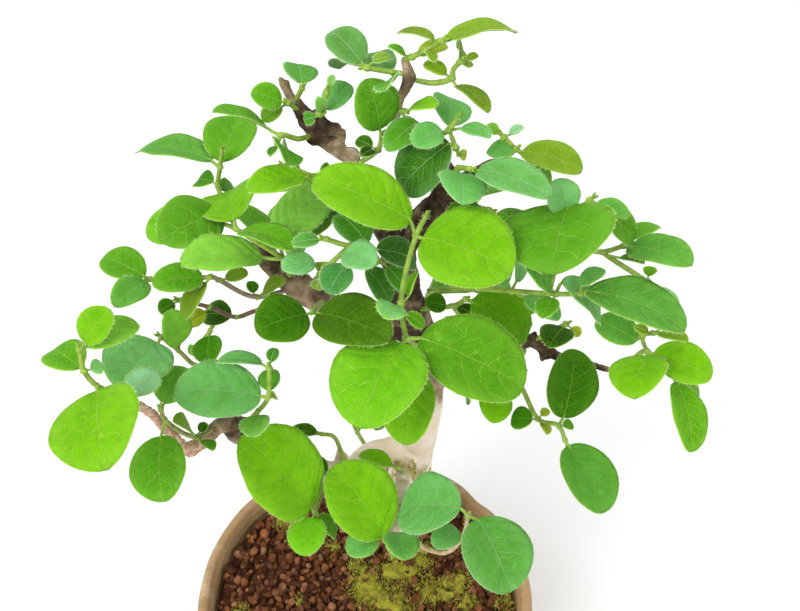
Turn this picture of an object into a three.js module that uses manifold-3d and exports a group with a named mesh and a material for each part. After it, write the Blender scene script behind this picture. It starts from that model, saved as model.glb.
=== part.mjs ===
// A honeysuckle bonsai in a round hand-made clay pot.
// Millimetres, +Z up, origin at the centre of the pot's flat foot.
import * as THREE from "three";
import { mergeVertices } from "three/addons/utils/BufferGeometryUtils.js";
import Module from "manifold-3d";

const wasm = await Module();
wasm.setup();

// Driving dimensions
const GAP = 0.3;
const SLIVER = 0.01;
const POT = {
  height: 62,
  sides: 32,
  notchAt: 0.73,
  notchDepth: 1.6,
  notchWidth: 0.09,
  lobes: 0.014,
  drainRadius: 4.5,
  drainOffset: 18,
};
// Radius and height of the pot's outside, from the foot's edge up to the middle of the rim
const POT_OUTSIDE = [
  [40, 0],
  [42, 2],
  [42.5, 6],
  [52, 20],
  [58.4, 42],
  [60.2, 59],
  [58.8, 62],
];
// Radius and height of its inside, from the rim down to the floor
const POT_INSIDE = [
  [56.6, 62],
  [55.2, 59],
  [52.8, 42],
  [46, 21],
  [38, 8],
];
const SOIL = {
  width: 126,
  cells: 14,
  level: 55,
  bump: 1.1,
  moundAt: [13, 35],
  moundHeight: 9,
  moundWidth: 16,
};
const BARK = { trunk: 0.04, limb: 0.1, trunkSides: 9, limbSides: 6, step: 13 };
const BLADE = { thickness: 0.9, arch: 0.08, fold: 0.2, roundest: 0.8, slimmest: 0.62, longest: 30 };
const STALK = { halfWidth: 0.3, shortest: 1.8 };
const STEM = { radius: 0.8, sides: 4, step: 12, bud: 1 };
const CLEAR = { blade: 3.2, wood: 2.2, stem: 2.4 };
const SWINGS = [0, 4, -4, 8, -8, 12, -12, 16];
const FAR = { firstAt: 0.22, turn: Math.PI / 2, sizes: [1, 0.85, 0.7, 0.55], mostSeen: 0.17 };

// The viewer's eye in front of the pot, how far its line of sight looks down, and the scale and middle of
// the picture it sees: what grows is placed on the lines of sight to the points where it is seen.
const SIGHT = {
  x: 13,
  y: -169,
  z: 356,
  down: THREE.MathUtils.degToRad(42.6),
  scale: 900,
  middle: [400, 305.5],
};
const eye = new THREE.Vector3(SIGHT.x, SIGHT.y, SIGHT.z);
const ahead = new THREE.Vector3(0, Math.cos(SIGHT.down), -Math.sin(SIGHT.down));
const above = new THREE.Vector3(0, Math.sin(SIGHT.down), Math.cos(SIGHT.down));
const rightward = new THREE.Vector3(1, 0, 0);
const upward = new THREE.Vector3(0, 0, 1);

// The line of sight through a point of the picture, one millimetre deep
function sightLine([across, down]) {
  return ahead
    .clone()
    .addScaledVector(rightward, (across - SIGHT.middle[0]) / SIGHT.scale)
    .addScaledVector(above, (SIGHT.middle[1] - down) / SIGHT.scale);
}

// The point seen at (across, down) in the picture that stands `back` mm behind the pot's centre
function at([across, down, back]) {
  const line = sightLine([across, down]);
  return eye.clone().addScaledVector(line, (back - eye.y) / line.y);
}

function depthOf(point) {
  return point.clone().sub(eye).dot(ahead);
}

// Where a point is seen in the picture
function seenAt(point) {
  const away = point.clone().sub(eye);
  const scale = SIGHT.scale / away.dot(ahead);
  return [SIGHT.middle[0] + away.dot(rightward) * scale, SIGHT.middle[1] - away.dot(above) * scale];
}

// Wood: each limb's route as [across, down, back, radius], thickest first
const WOOD = {
  trunk: [
    [407, 512, 38, 10],
    [409, 480, 37, 8.4],
    [414, 448, 35, 6.9],
    [423, 408, 33, 6.5],
    [424, 352, 31, 5.7],
    [406, 300, 29, 5.1],
    [396, 240, 27, 4.6],
  ],
  low_left_limb: [
    [411, 450, 35, 5.2],
    [391, 452, 31, 5.4],
    [371, 457, 27, 5.2],
    [346, 473, 18, 4],
    [318, 469, 12, 3.5],
    [280, 452, 7, 3.3],
    [240, 430, 3, 3.9],
    [222, 425, 0, 2.2],
    [190, 449, -5, 2],
    [168, 431, -7, 1.4],
    [148, 411, -8, 1.2],
    [112, 392, -12, 1.2],
  ],
  low_front_limb: [
    [409, 452, 34, 3.6],
    [404, 480, 17, 2.9],
    [399, 512, -2, 2.3],
    [392, 536, -12, 1.8],
  ],
  left_limb: [
    [417, 332, 30, 4.5],
    [380, 322, 33, 4.5],
    [325, 303, 35, 4.4],
    [298, 285, 36, 4.3],
    [272, 264, 36, 3.4],
    [250, 246, 34, 1.8],
  ],
  right_limb: [
    [420, 345, 30, 4],
    [464, 350, 27, 2.7],
    [500, 351, 22, 2],
    [520, 344, 18, 1.7],
    [532, 341, 17, 1.8],
    [546, 350, 16, 1.8],
    [568, 361, 14, 1.2],
    [592, 365, 12, 1],
    [613, 371, 9, 0.8],
  ],
  leader: [
    [400, 248, 27, 4.4],
    [418, 223, 27, 3.6],
    [448, 192, 28, 3.4],
    [440, 165, 30, 2.8],
    [404, 136, 32, 1.5],
    [395, 112, 32, 0.9],
    [409, 77, 33, 1.5],
    [403, 57, 34, 0.8],
  ],
  upper_right_limb: [
    [446, 192, 28, 3],
    [470, 178, 29, 2.2],
    [494, 166, 30, 2],
    [507, 158, 29, 1.6],
  ],
  upper_left_limb: [
    [398, 244, 27, 4.2],
    [381, 217, 29, 3.6],
    [364, 188, 31, 2.5],
    [351, 160, 33, 1.9],
    [334, 149, 34, 1.7],
    [317, 131, 35, 2.8],
    [303, 113, 36, 2],
    [292, 99, 37, 1.2],
    [279, 77, 38, 0.8],
  ],
  left_root: [
    [405, 492, 37, 5.5],
    [378, 509, 33, 4],
    [346, 529, 30, 2],
  ],
  front_root: [
    [406, 492, 37, 5],
    [402, 514, 31, 4],
    [403, 540, 23, 2],
  ],
  right_root: [
    [411, 492, 37, 5],
    [424, 504, 35, 3.6],
    [438, 521, 32, 2],
  ],
};

// Shoots that are seen. Points are [across, down, back]. A stem runs through its letters. A leaf has the
// point its stalk leaves from, the base and the tip of its blade, and how wide the blade is seen.
const SHOOTS = {
  front_pair: {
    points: {
      a: [420, 342, 29],
      b: [418, 346, 14],
      c: [406, 338, -3],
      d: [401, 303, 0],
      e: [416, 236, 7],
      f: [425, 218, 8],
    },
    stems: ["abc", "cdef"],
    leaves: [
      ["c", [403, 343], [357, 427], 88],
      ["c", [420, 338], [524, 388], 80],
      ["b", [417, 374], [407, 445], 52],
      ["e", [411, 221], [313, 179], 57],
      ["e", [419, 241], [513, 270], 82],
      ["d", [407, 300], [384, 318], 30],
      ["d", [406, 314], [424, 327], 14],
      ["d", [409, 296], [418, 271], 8],
    ],
  },
  right_under: {
    points: {
      a: [409, 310, 29],
      b: [452, 306, 19],
      c: [466, 299, 12],
      d: [480, 340, 22],
      e: [492, 378, 16],
    },
    stems: ["abc", "bde"],
    leaves: [
      ["c", [469, 300], [529, 335], 54],
      ["b", [450, 302], [425, 302], 20],
      ["b", [452, 310], [479, 317], 14],
      ["e", [492, 386], [494, 423], 33],
    ],
  },
  centre_cluster: {
    points: {
      a: [398, 250, 27],
      b: [382, 262, 18],
      c: [372, 248, 11],
      d: [349, 246, 8],
      e: [326, 239, 6],
      f: [320, 274, 7],
    },
    stems: ["abc", "cde", "df"],
    leaves: [
      ["c", [370, 243], [338, 213], 34],
      ["c", [377, 249], [416, 262], 30],
      ["d", [344, 252], [376, 264], 32],
      ["d", [346, 265], [329, 294], 33],
      ["f", [315, 263], [281, 267], 24],
      ["f", [321, 272], [323, 262], 14],
      ["f", [319, 278], [317, 290], 13],
      ["b", [378, 264], [407, 292], 20],
      ["b", [366, 269], [390, 304], 26],
      ["e", [322, 240], [292, 244], 15],
    ],
  },
  dark_pair: {
    points: { a: [325, 303, 35], b: [319, 304, 18], c: [313, 312, 8] },
    stems: ["abc"],
    leaves: [
      ["c", [318, 311], [390, 338], 54],
      ["c", [309, 312], [256, 331], 50],
    ],
  },
  left_upper: {
    points: {
      a: [290, 278, 36],
      m: [288, 268, 27],
      b: [284, 259, 14],
      c: [252, 239, 13],
      d: [236, 229, 18],
      e: [217, 222, 30],
      i: [230, 213, 27],
      f: [218, 187, 38],
      g: [220, 167, 38],
      h: [222, 152, 38],
    },
    stems: ["ambcde", "difgh"],
    leaves: [
      ["b", [277, 238], [328, 191], 46],
      ["b", [262, 257], [180, 262], 36],
      ["m", [292, 246], [338, 204], 32],
      ["d", [242, 227], [294, 250], 24],
      ["d", [234, 221], [232, 189], 62],
      ["e", [212, 226], [146, 234], 42],
      ["i", [219, 214], [160, 240], 54],
      ["f", [213, 182], [197, 182], 17],
      ["f", [223, 184], [238, 196], 14],
      ["g", [212, 161], [139, 150], 24],
      ["g", [225, 165], [241, 117], 50],
    ],
  },
  lime_left: {
    points: { a: [356, 170, 32], b: [336, 172, 26], c: [313, 176, 20], d: [286, 166, 22] },
    stems: ["abc", "cd"],
    leaves: [
      ["c", [309, 180], [247, 190], 27],
      ["b", [341, 168], [320, 169], 15],
      ["d", [285, 162], [284, 149], 12],
    ],
  },
  crown_left: {
    points: { a: [302, 112, 36], b: [288, 103, 33] },
    stems: ["ab"],
    leaves: [
      ["b", [284, 98], [251, 93], 26],
      ["b", [284, 108], [262, 120], 18],
    ],
  },
  crown_left_top: {
    points: { a: [294, 104, 37], b: [302, 88, 34] },
    stems: ["ab"],
    leaves: [["b", [302, 86], [297, 64], 34]],
  },
  crown_left_front: {
    points: { a: [306, 117, 36], b: [321, 114, 31], c: [327, 92, 31] },
    stems: ["ab", "bc"],
    leaves: [
      ["b", [325, 112], [350, 84], 26],
      ["b", [316, 109], [317, 97], 12],
      ["b", [315, 115], [304, 121], 14],
      ["c", [326, 87], [333, 75], 8],
    ],
  },
  crown_left_low: {
    points: { a: [314, 134, 35], b: [298, 139, 29], c: [281, 135, 26], d: [277, 144, 25] },
    stems: ["abcd"],
    leaves: [
      ["c", [267, 128], [213, 111], 10],
      ["d", [273, 147], [270, 156], 8],
      ["d", [281, 149], [288, 164], 14],
    ],
  },
  crown_big: {
    points: { a: [356, 165, 32], b: [378, 150, 30], c: [382, 136, 28] },
    stems: ["abc"],
    leaves: [
      ["c", [384, 131], [366, 79], 46],
      ["b", [373, 148], [356, 140], 15],
      ["b", [384, 153], [361, 156], 12],
    ],
  },
  crown_centre: {
    points: {
      a: [418, 150, 31],
      b: [434, 137, 27],
      c: [449, 130, 24],
      d: [457, 119, 24],
      e: [456, 148, 22],
    },
    stems: ["abcd", "ce"],
    leaves: [
      ["c", [452, 128], [449, 97], 40],
      ["c", [445, 131], [411, 143], 27],
      ["c", [461, 128], [491, 137], 14],
      ["e", [450, 143], [401, 189], 54],
      ["b", [418, 122], [386, 150], 28],
      ["e", [460, 146], [466, 157], 11],
    ],
  },
  lime_twig: {
    points: { a: [396, 110, 32], b: [404, 111, 30] },
    stems: ["ab"],
    leaves: [["b", [407, 111], [436, 107], 11]],
  },
  apex: {
    points: { a: [404, 60, 34], b: [412, 57, 32], c: [426, 50, 31], d: [441, 41, 30] },
    stems: ["abcd"],
    leaves: [
      ["d", [447, 39], [516, 31], 15],
      ["d", [436, 37], [398, 32], 9],
      ["b", [416, 55], [447, 45], 15],
      ["b", [409, 51], [388, 46], 7],
      ["c", [424, 54], [433, 62], 10],
    ],
  },
  apex_left: {
    points: { a: [407, 74, 33], b: [392, 72, 33], c: [367, 68, 32] },
    stems: ["abc"],
    leaves: [
      ["c", [364, 62], [331, 31], 36],
      ["b", [390, 70], [339, 66], 16],
      ["c", [372, 62], [391, 57], 10],
      ["b", [394, 80], [384, 91], 8],
    ],
  },
  apex_right: {
    points: { a: [410, 79, 33], b: [433, 83, 32], c: [452, 78, 30], d: [453, 70, 30], e: [460, 62, 29] },
    stems: ["abcde"],
    leaves: [
      ["c", [450, 79], [424, 63], 14],
      ["c", [456, 86], [489, 112], 14],
      ["e", [460, 59], [458, 47], 9],
      ["e", [464, 61], [478, 55], 8],
    ],
  },
  right_crown: {
    points: { a: [505, 159, 29], b: [516, 149, 25], c: [504, 137, 26] },
    stems: ["ab", "bc"],
    leaves: [
      ["c", [504, 133], [523, 126], 9],
      ["c", [500, 136], [486, 126], 12],
      ["b", [512, 155], [489, 148], 20],
      ["b", [520, 147], [582, 171], 30],
      ["b", [519, 154], [551, 186], 14],
    ],
  },
  right_blue: {
    points: { a: [452, 189, 28], b: [458, 168, 18], c: [470, 169, 14] },
    stems: ["abc"],
    leaves: [
      ["c", [476, 172], [550, 196], 33],
      ["b", [458, 163], [463, 204], 45],
    ],
  },
  right_blue_low: {
    points: { a: [441, 200, 28], b: [466, 204, 24], c: [489, 210, 22] },
    stems: ["abc"],
    leaves: [
      ["c", [489, 214], [446, 221], 30],
      ["c", [494, 206], [508, 232], 20],
    ],
  },
  right_big: {
    points: {
      a: [428, 290, 28],
      b: [475, 289, 14],
      c: [512, 291, 7],
      d: [556, 294, 2],
      e: [580, 294, 1],
      f: [555, 268, 5],
      g: [566, 238, 10],
      h: [575, 213, 13],
      i: [590, 200, 14],
      j: [601, 252, 14],
      k: [623, 246, 15],
      l: [648, 282, 13],
      m: [549, 295, 3],
    },
    stems: ["abcde", "mfghi", "gjk", "jl"],
    leaves: [
      ["h", [570, 205], [552, 274], 104],
      ["h", [566, 214], [556, 179], 34],
      ["i", [593, 200], [629, 217], 17],
      ["i", [600, 210], [634, 241], 28],
      ["k", [628, 240], [659, 226], 15],
      ["k", [627, 246], [692, 264], 31],
      ["j", [620, 258], [645, 263], 8],
      ["l", [657, 287], [676, 317], 16],
      ["l", [653, 284], [653, 267], 13],
      ["e", [587, 291], [686, 329], 42],
      ["e", [581, 286], [604, 269], 16],
      ["d", [562, 281], [601, 321], 21],
      ["d", [553, 299], [542, 318], 22],
      ["c", [525, 298], [560, 319], 21],
      ["c", [516, 282], [517, 243], 12],
      ["d", [550, 288], [526, 266], 22],
    ],
  },
  right_low: {
    points: { a: [500, 352, 21], b: [522, 388, 14], c: [538, 419, 5], d: [559, 426, -2], e: [565, 440, -4] },
    stems: ["abcde"],
    leaves: [
      ["c", [534, 420], [511, 420], 23],
      ["c", [543, 417], [549, 410], 9],
      ["c", [543, 424], [547, 434], 9],
      ["d", [563, 426], [573, 425], 11],
      ["d", [563, 418], [574, 349], 50],
      ["e", [567, 445], [606, 512], 49],
    ],
  },
  right_dark: {
    points: { a: [533, 341, 17], b: [552, 331, 13], c: [566, 324, 10] },
    stems: ["abc"],
    leaves: [
      ["c", [563, 322], [549, 347], 31],
      ["c", [569, 327], [580, 336], 11],
    ],
  },
  right_outer: {
    points: {
      a: [613, 371, 9],
      b: [632, 360, 6],
      c: [647, 351, 3],
      d: [660, 366, 1],
      e: [674, 376, -1],
      f: [642, 336, 6],
      g: [653, 333, 6],
    },
    stems: ["abcde", "cfg"],
    leaves: [
      ["c", [642, 347], [634, 398], 52],
      ["c", [652, 352], [712, 377], 40],
      ["f", [637, 341], [596, 320], 32],
      ["g", [657, 334], [688, 341], 12],
      ["g", [650, 330], [634, 327], 10],
      ["e", [675, 380], [692, 452], 32],
      ["e", [678, 380], [699, 402], 18],
    ],
  },
  left_round: {
    points: {
      a: [294, 288, 36],
      b: [257, 297, 29],
      c: [219, 280, 19],
      d: [210, 277, 15],
      e: [180, 281, 18],
      f: [150, 279, 13],
    },
    stems: ["abcdef"],
    leaves: [
      ["d", [207, 275], [152, 283], 30],
      ["d", [208, 283], [184, 319], 18],
      ["c", [222, 276], [248, 272], 14],
      ["f", [144, 276], [103, 257], 35],
      ["f", [148, 282], [114, 306], 29],
      ["b", [260, 292], [250, 281], 12],
      ["b", [263, 293], [285, 281], 13],
    ],
  },
  left_mid_back: {
    points: {
      a: [304, 294, 36],
      b: [252, 312, 30],
      c: [236, 317, 28],
      d: [209, 307, 26],
      e: [180, 300, 23],
    },
    stems: ["abcde"],
    leaves: [
      ["c", [233, 318], [204, 314], 27],
      ["e", [177, 302], [159, 312], 17],
      ["d", [205, 306], [187, 326], 18],
    ],
  },
  left_mid_front: {
    points: {
      a: [240, 426, 4],
      b: [237, 398, 10],
      c: [217, 363, 13],
      d: [201, 347, 15],
      e: [210, 331, 16],
      f: [197, 366, 13],
      g: [178, 350, 13],
      h: [161, 337, 12],
    },
    stems: ["abcde", "cfgh"],
    leaves: [
      ["e", [211, 334], [209, 364], 29],
      ["d", [198, 345], [188, 352], 12],
      ["g", [180, 344], [167, 311], 31],
      ["h", [158, 343], [117, 387], 62],
    ],
  },
  left_edge: {
    points: { a: [113, 392, -12], b: [97, 386, -14], c: [84, 371, -13], d: [80, 350, -11] },
    stems: ["abcd"],
    leaves: [
      ["b", [97, 391], [107, 469], 84],
      ["a", [124, 391], [161, 377], 29],
      ["c", [87, 370], [103, 366], 16],
      ["c", [80, 372], [52, 350], 40],
      ["d", [84, 347], [138, 323], 30],
      ["d", [84, 342], [110, 309], 34],
    ],
  },
  lower_left: {
    points: { a: [214, 429, -2], b: [196, 437, -5], c: [165, 420, -8], d: [161, 409, -8] },
    stems: ["abcd"],
    leaves: [
      ["c", [161, 436], [163, 502], 54],
      ["d", [163, 405], [185, 367], 37],
      ["b", [191, 431], [174, 421], 12],
      ["b", [200, 433], [207, 423], 10],
      ["b", [203, 441], [213, 450], 11],
    ],
  },
  left_front: {
    points: { a: [242, 427, 3], b: [258, 411, -3], c: [268, 397, -6], d: [269, 368, -4] },
    stems: ["abcd"],
    leaves: [
      ["c", [263, 393], [174, 391], 57],
      ["c", [272, 394], [273, 369], 22],
      ["d", [271, 364], [276, 348], 13],
      ["d", [262, 364], [217, 361], 14],
      ["b", [255, 412], [254, 437], 29],
      ["c", [270, 400], [276, 397], 8],
    ],
  },
  bottom_left: {
    points: { a: [318, 470, 12], b: [321, 492, 0], c: [315, 512, -10] },
    stems: ["abc"],
    leaves: [
      ["c", [311, 513], [242, 436], 78],
      ["c", [313, 517], [304, 556], 37],
      ["c", [320, 514], [336, 537], 14],
      ["b", [321, 478], [318, 456], 15],
    ],
  },
  bottom_knob: {
    points: { a: [346, 470, 18], b: [341, 452, 16], c: [333, 436, 15], d: [322, 434, 14] },
    stems: ["abcd"],
    leaves: [["d", [318, 435], [288, 432], 13]],
  },
  bottom_centre: {
    points: { a: [394, 530, -9], b: [387, 541, -15], c: [391, 553, -17] },
    stems: ["abc"],
    leaves: [
      ["b", [385, 536], [333, 466], 70],
      ["b", [377, 538], [347, 553], 28],
      ["b", [396, 533], [405, 560], 34],
    ],
  },
  bottom_back: {
    points: { a: [405, 474, 20], b: [397, 468, 17] },
    stems: ["ab"],
    leaves: [["b", [392, 465], [359, 455], 15]],
  },
  bottom_right: {
    points: {
      a: [399, 516, -3],
      b: [420, 545, -12],
      c: [443, 553, -15],
      d: [461, 540, -17],
      e: [468, 516, -19],
    },
    stems: ["abcde"],
    leaves: [
      ["e", [461, 508], [400, 508], 62],
      ["e", [477, 519], [511, 592], 68],
      ["d", [459, 531], [433, 546], 26],
    ],
  },
};

// Shoots on the far side, hidden behind what is seen: stem points, how many pairs of leaves they carry,
// and the length of the largest leaf. Their leaves are set in crossed pairs by rule.
const FAR_SHOOTS = {
  far_crown: { points: [[408, 80, 34], [402, 98, 48], [398, 118, 60]], pairs: 4, leaf: 17 },
  far_upper_left: { points: [[364, 188, 32], [352, 200, 52], [342, 214, 68]], pairs: 5, leaf: 20 },
  far_upper_right: { points: [[448, 190, 29], [470, 205, 50], [484, 228, 68]], pairs: 5, leaf: 20 },
  far_left: { points: [[300, 287, 37], [285, 262, 56], [268, 248, 72]], pairs: 5, leaf: 21 },
  far_middle: { points: [[426, 300, 29], [430, 290, 50], [438, 272, 74]], pairs: 5, leaf: 22 },
  far_right: { points: [[470, 346, 28], [490, 320, 48], [512, 300, 66]], pairs: 5, leaf: 21 },
  far_low_left: { points: [[372, 457, 28], [352, 420, 48], [350, 392, 64]], pairs: 5, leaf: 20 },
  far_low_right: { points: [[424, 402, 33], [448, 380, 50], [470, 366, 66]], pairs: 5, leaf: 20 },
};

// A three.js shape as a solid, its corners merged
function solidOf(geometry) {
  const bare = new THREE.BufferGeometry();
  bare.setAttribute("position", geometry.getAttribute("position"));
  bare.setIndex(geometry.getIndex());
  const merged = mergeVertices(bare, 1e-4);
  return new wasm.Manifold(
    new wasm.Mesh({
      numProp: 3,
      vertProperties: new Float32Array(merged.getAttribute("position").array),
      triVerts: new Uint32Array(merged.getIndex().array),
    }),
  );
}

// Draws the ends of every edge shorter than SLIVER together, where that leaves the surface closed
function withoutSlivers(place, triangles) {
  const length = (a, b) => Math.hypot(...[0, 1, 2].map((k) => place[3 * a + k] - place[3 * b + k]));
  const around = (corner) => new Set(triangles.filter((triangle) => triangle.includes(corner)).flat());
  const canClose = (a, b) => {
    const nearB = around(b);
    return [...around(a)].filter((corner) => nearB.has(corner)).length === 4;
  };
  const findShort = () => {
    for (const [a, b, c] of triangles) {
      for (const edge of [[a, b], [b, c], [c, a]]) {
        if (length(...edge) < SLIVER && canClose(...edge)) return edge;
      }
    }
    return null;
  };
  for (let edge = findShort(); edge; edge = findShort()) {
    const [kept, gone] = edge;
    triangles = triangles
      .map((triangle) => triangle.map((corner) => (corner === gone ? kept : corner)))
      .filter(([a, b, c]) => a !== b && b !== c && c !== a);
  }
  return triangles.flat();
}

// A solid back as a three.js shape
function geometryOf(solid) {
  const mesh = solid.getMesh();
  const corners = Array.from(mesh.triVerts);
  const triangles = Array.from({ length: corners.length / 3 }, (_, i) => corners.slice(3 * i, 3 * i + 3));
  const geometry = new THREE.BufferGeometry();
  geometry.setAttribute("position", new THREE.BufferAttribute(new Float32Array(mesh.vertProperties), 3));
  geometry.setIndex(withoutSlivers(mesh.vertProperties, triangles));
  return geometry.toNonIndexed();
}

function joined(solids) {
  return wasm.Manifold.union(solids);
}

// The largest body of a solid, without the scraps that a cut leaves
function wholeBody(solid) {
  return solid.decompose().sort((one, other) => other.volume() - one.volume())[0];
}

// A tapering tube through points, closed at both ends. `bark` swells and pinches it along its length.
function tube(points, radii, sides, step, bark) {
  const curve = new THREE.CatmullRomCurve3(points, false, "centripetal");
  const shares = [0];
  for (let i = 1; i < points.length; i += 1) {
    const parts = Math.max(1, Math.round(points[i].distanceTo(points[i - 1]) / step));
    for (let part = 1; part <= parts; part += 1) shares.push((i - 1 + part / parts) / (points.length - 1));
  }
  const rings = [];
  let aside = new THREE.Vector3(1, 0.3, 0.2);
  for (const share of shares) {
    const along = curve.getTangent(share);
    aside = aside.clone().addScaledVector(along, -aside.dot(along)).normalize();
    const slot = share * (radii.length - 1);
    const before = Math.min(Math.floor(slot), radii.length - 2);
    const radius = radii[before] + (radii[before + 1] - radii[before]) * (slot - before);
    rings.push({ middle: curve.getPoint(share), aside, other: along.clone().cross(aside), radius });
  }
  const shape = new THREE.CylinderGeometry(1, 1, 1, sides, rings.length - 1);
  const place = shape.getAttribute("position");
  for (let i = 0; i < place.count; i += 1) {
    const number = Math.round((0.5 - place.getY(i)) * (rings.length - 1));
    const { middle, aside: first, other, radius } = rings[number];
    const swell = 1 + bark * Math.sin(number * 2.4 + 2 * Math.atan2(place.getZ(i), place.getX(i)));
    const spot = middle.clone().addScaledVector(first, place.getX(i) * radius * swell);
    spot.addScaledVector(other, place.getZ(i) * radius * swell);
    place.setXYZ(i, spot.x, spot.y, spot.z);
  }
  return solidOf(shape);
}

// Half the width of a blade at `along`, 0 at its base and 1 at its tip, as a share of the whole half width
function outline(along) {
  return Math.max(0, Math.sin(Math.PI * along)) ** 0.46;
}

// A leaf's frame: `start` on the stem, `base` and `tip` of the blade, its side and its normal
function leafFrame(start, baseSeen, tipSeen, wideSeen, swing) {
  const depth = depthOf(start);
  let base = eye.clone().addScaledVector(sightLine(baseSeen), depth);
  const scale = depth / SIGHT.scale;
  const seenLength = Math.hypot(tipSeen[0] - baseSeen[0], tipSeen[1] - baseSeen[1]) * scale;
  const seenWidth = wideSeen * scale;
  const wanted = Math.min(BLADE.longest, Math.max(1.06 * seenLength, seenWidth / BLADE.roundest));
  const lean = Math.sqrt(Math.max(0, wanted ** 2 - seenLength ** 2));
  const turned = tipSeen[1] > baseSeen[1] ? -lean : lean;
  const tip = eye.clone().addScaledVector(sightLine(tipSeen), depth + turned + swing);
  const towards = tip.clone().sub(base).normalize();
  if (base.distanceTo(start) < STALK.shortest) base = start.clone().addScaledVector(towards, STALK.shortest);
  const length = tip.distanceTo(base);
  const axis = tip.clone().sub(base).normalize();
  const width = Math.max(1.1 * seenWidth, BLADE.slimmest * length);
  const roll = Math.acos(Math.min(1, seenWidth / width));
  const facing = eye.clone().sub(base);
  facing.addScaledVector(axis, -facing.dot(axis)).normalize();
  const aside = axis.clone().cross(facing);
  const normal = facing.multiplyScalar(Math.cos(roll));
  normal.addScaledVector(aside, Math.sin(roll) * (aside.z < 0 ? -1 : 1)).normalize();
  const side = axis.clone().cross(normal);
  return { start, base, axis, normal, side, length, width };
}

// A point of the blade's middle surface: `across` from -1 to 1, `along` from 0 to 1
function onBlade(leaf, across, along) {
  const reach = (across * leaf.width * outline(along)) / 2;
  const arched = BLADE.arch * leaf.length * 4 * along * (1 - along);
  return leaf.base
    .clone()
    .addScaledVector(leaf.axis, leaf.length * along)
    .addScaledVector(leaf.side, reach)
    .addScaledVector(leaf.normal, arched + BLADE.fold * Math.abs(reach));
}

// Spots all over a blade, for keeping blades clear of each other
function spotsOf(leaf) {
  const spots = [];
  for (const along of [0.12, 0.3, 0.48, 0.66, 0.84, 1]) {
    for (const across of [-1, -0.5, 0, 0.5, 1]) {
      spots.push(onBlade(leaf, across, along));
    }
  }
  return spots;
}

// What has been placed so far: spots on blades and stems, each with its shoot, reach and keep-off distance
const placed = [];

function nearest(spots, shoot, closeBase) {
  let least = 1;
  for (const other of placed) {
    if (other.middle.distanceTo(spots[closeBase]) > 45) continue;
    const skip = other.shoot === shoot ? 5 : 0;
    const own = other.shoot === shoot ? other.skipOwn : 0;
    for (let i = skip; i < spots.length; i += 1) {
      for (let j = own; j < other.spots.length; j += 1) {
        const share = spots[i].distanceTo(other.spots[j]) / other.clear;
        if (share < least) least = share;
      }
    }
  }
  return least;
}

function remember(shoot, spots, clear, skipOwn) {
  const middle = spots[Math.floor(spots.length / 2)];
  placed.push({ shoot, spots, clear, skipOwn, middle });
}

function rememberTube(shoot, points, radii, clear) {
  const curve = new THREE.CatmullRomCurve3(points, false, "centripetal");
  const count = Math.max(2, Math.round(curve.getLength() / 2.5));
  const last = radii.length - 1;
  for (let i = 0; i < count; i += 1) {
    const slot = (i / (count - 1)) * last;
    const radius = radii[Math.floor(slot)];
    remember(shoot, [curve.getPoint(i / (count - 1))], radius + clear, 1);
  }
}

// The first swing of the tip, towards or away from the eye, at which the blade is clear of all else
function settled(shoot, makeFrame) {
  let best = null;
  for (const swing of SWINGS) {
    const leaf = makeFrame(swing);
    const spots = spotsOf(leaf);
    const room = nearest(spots, shoot, 12);
    if (!best || room > best.room + 0.02) best = { leaf, spots, room };
    if (room >= 1) break;
  }
  return best;
}

// Rows of a leaf's grid: the start of its stalk, then shares of the blade's length
const GRIDS = [
  { upTo: 15, rows: [0.03, 0.5, 0.97], across: 1 },
  { upTo: 24, rows: [0.03, 0.35, 0.75, 0.98], across: 1 },
  { upTo: Infinity, rows: [0.03, 0.33, 0.72, 0.98], across: 2 },
];

// A leaf as a closed solid: a grid bent to the blade, its lower face the same triangles turned over
function leafSolid(leaf, thickness) {
  const { rows, across } = leaf.far ? GRIDS[0] : GRIDS.find((grid) => leaf.length <= grid.upTo);
  const along = rows.length;
  const grid = new THREE.PlaneGeometry(2, 1, across, along);
  const flat = grid.getAttribute("position");
  const half = leaf.normal.clone().multiplyScalar(thickness / 2);
  const upper = [];
  for (let i = 0; i < flat.count; i += 1) {
    const row = along - Math.floor(i / (across + 1));
    const aside = flat.getX(i);
    const spot = row === 0 ? leaf.start.clone() : onBlade(leaf, aside, rows[row - 1]);
    if (row === 0) spot.addScaledVector(leaf.side, STALK.halfWidth * aside);
    if (across === 1 && row > 0) {
      spot.addScaledVector(leaf.normal, (-BLADE.fold / 4) * leaf.width * outline(rows[row - 1]));
    }
    upper.push(spot);
  }
  const lower = upper.map((spot) => spot.clone().sub(half));
  upper.forEach((spot) => spot.add(half));
  const triangles = Array.from(grid.getIndex().array);
  const count = upper.length;
  for (let i = triangles.length - 3; i >= 0; i -= 3) {
    triangles.push(triangles[i] + count, triangles[i + 2] + count, triangles[i + 1] + count);
  }
  const edge = [];
  const corner = (row, column) => row * (across + 1) + column;
  for (let column = 0; column < across; column += 1) edge.push(corner(along, column));
  for (let row = along; row > 0; row -= 1) edge.push(corner(row, across));
  for (let column = across; column > 0; column -= 1) edge.push(corner(0, column));
  for (let row = 0; row < along; row += 1) edge.push(corner(row, 0));
  edge.forEach((here, i) => {
    const next = edge[(i + 1) % edge.length];
    triangles.push(here, here + count, next + count, here, next + count, next);
  });
  const shape = new THREE.BufferGeometry().setFromPoints(upper.concat(lower));
  shape.setIndex(triangles);
  return solidOf(shape);
}

// The trunk and all limbs, as one piece of wood. `extra` thickens it all over.
function wood(extra) {
  return joined(
    Object.entries(WOOD).map(([name, route]) =>
      tube(
        route.map((point) => at(point)),
        route.map((point) => point[3] + extra),
        name === "trunk" ? BARK.trunkSides : BARK.limbSides,
        BARK.step,
        name === "trunk" ? BARK.trunk : BARK.limb,
      ),
    ),
  );
}

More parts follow.
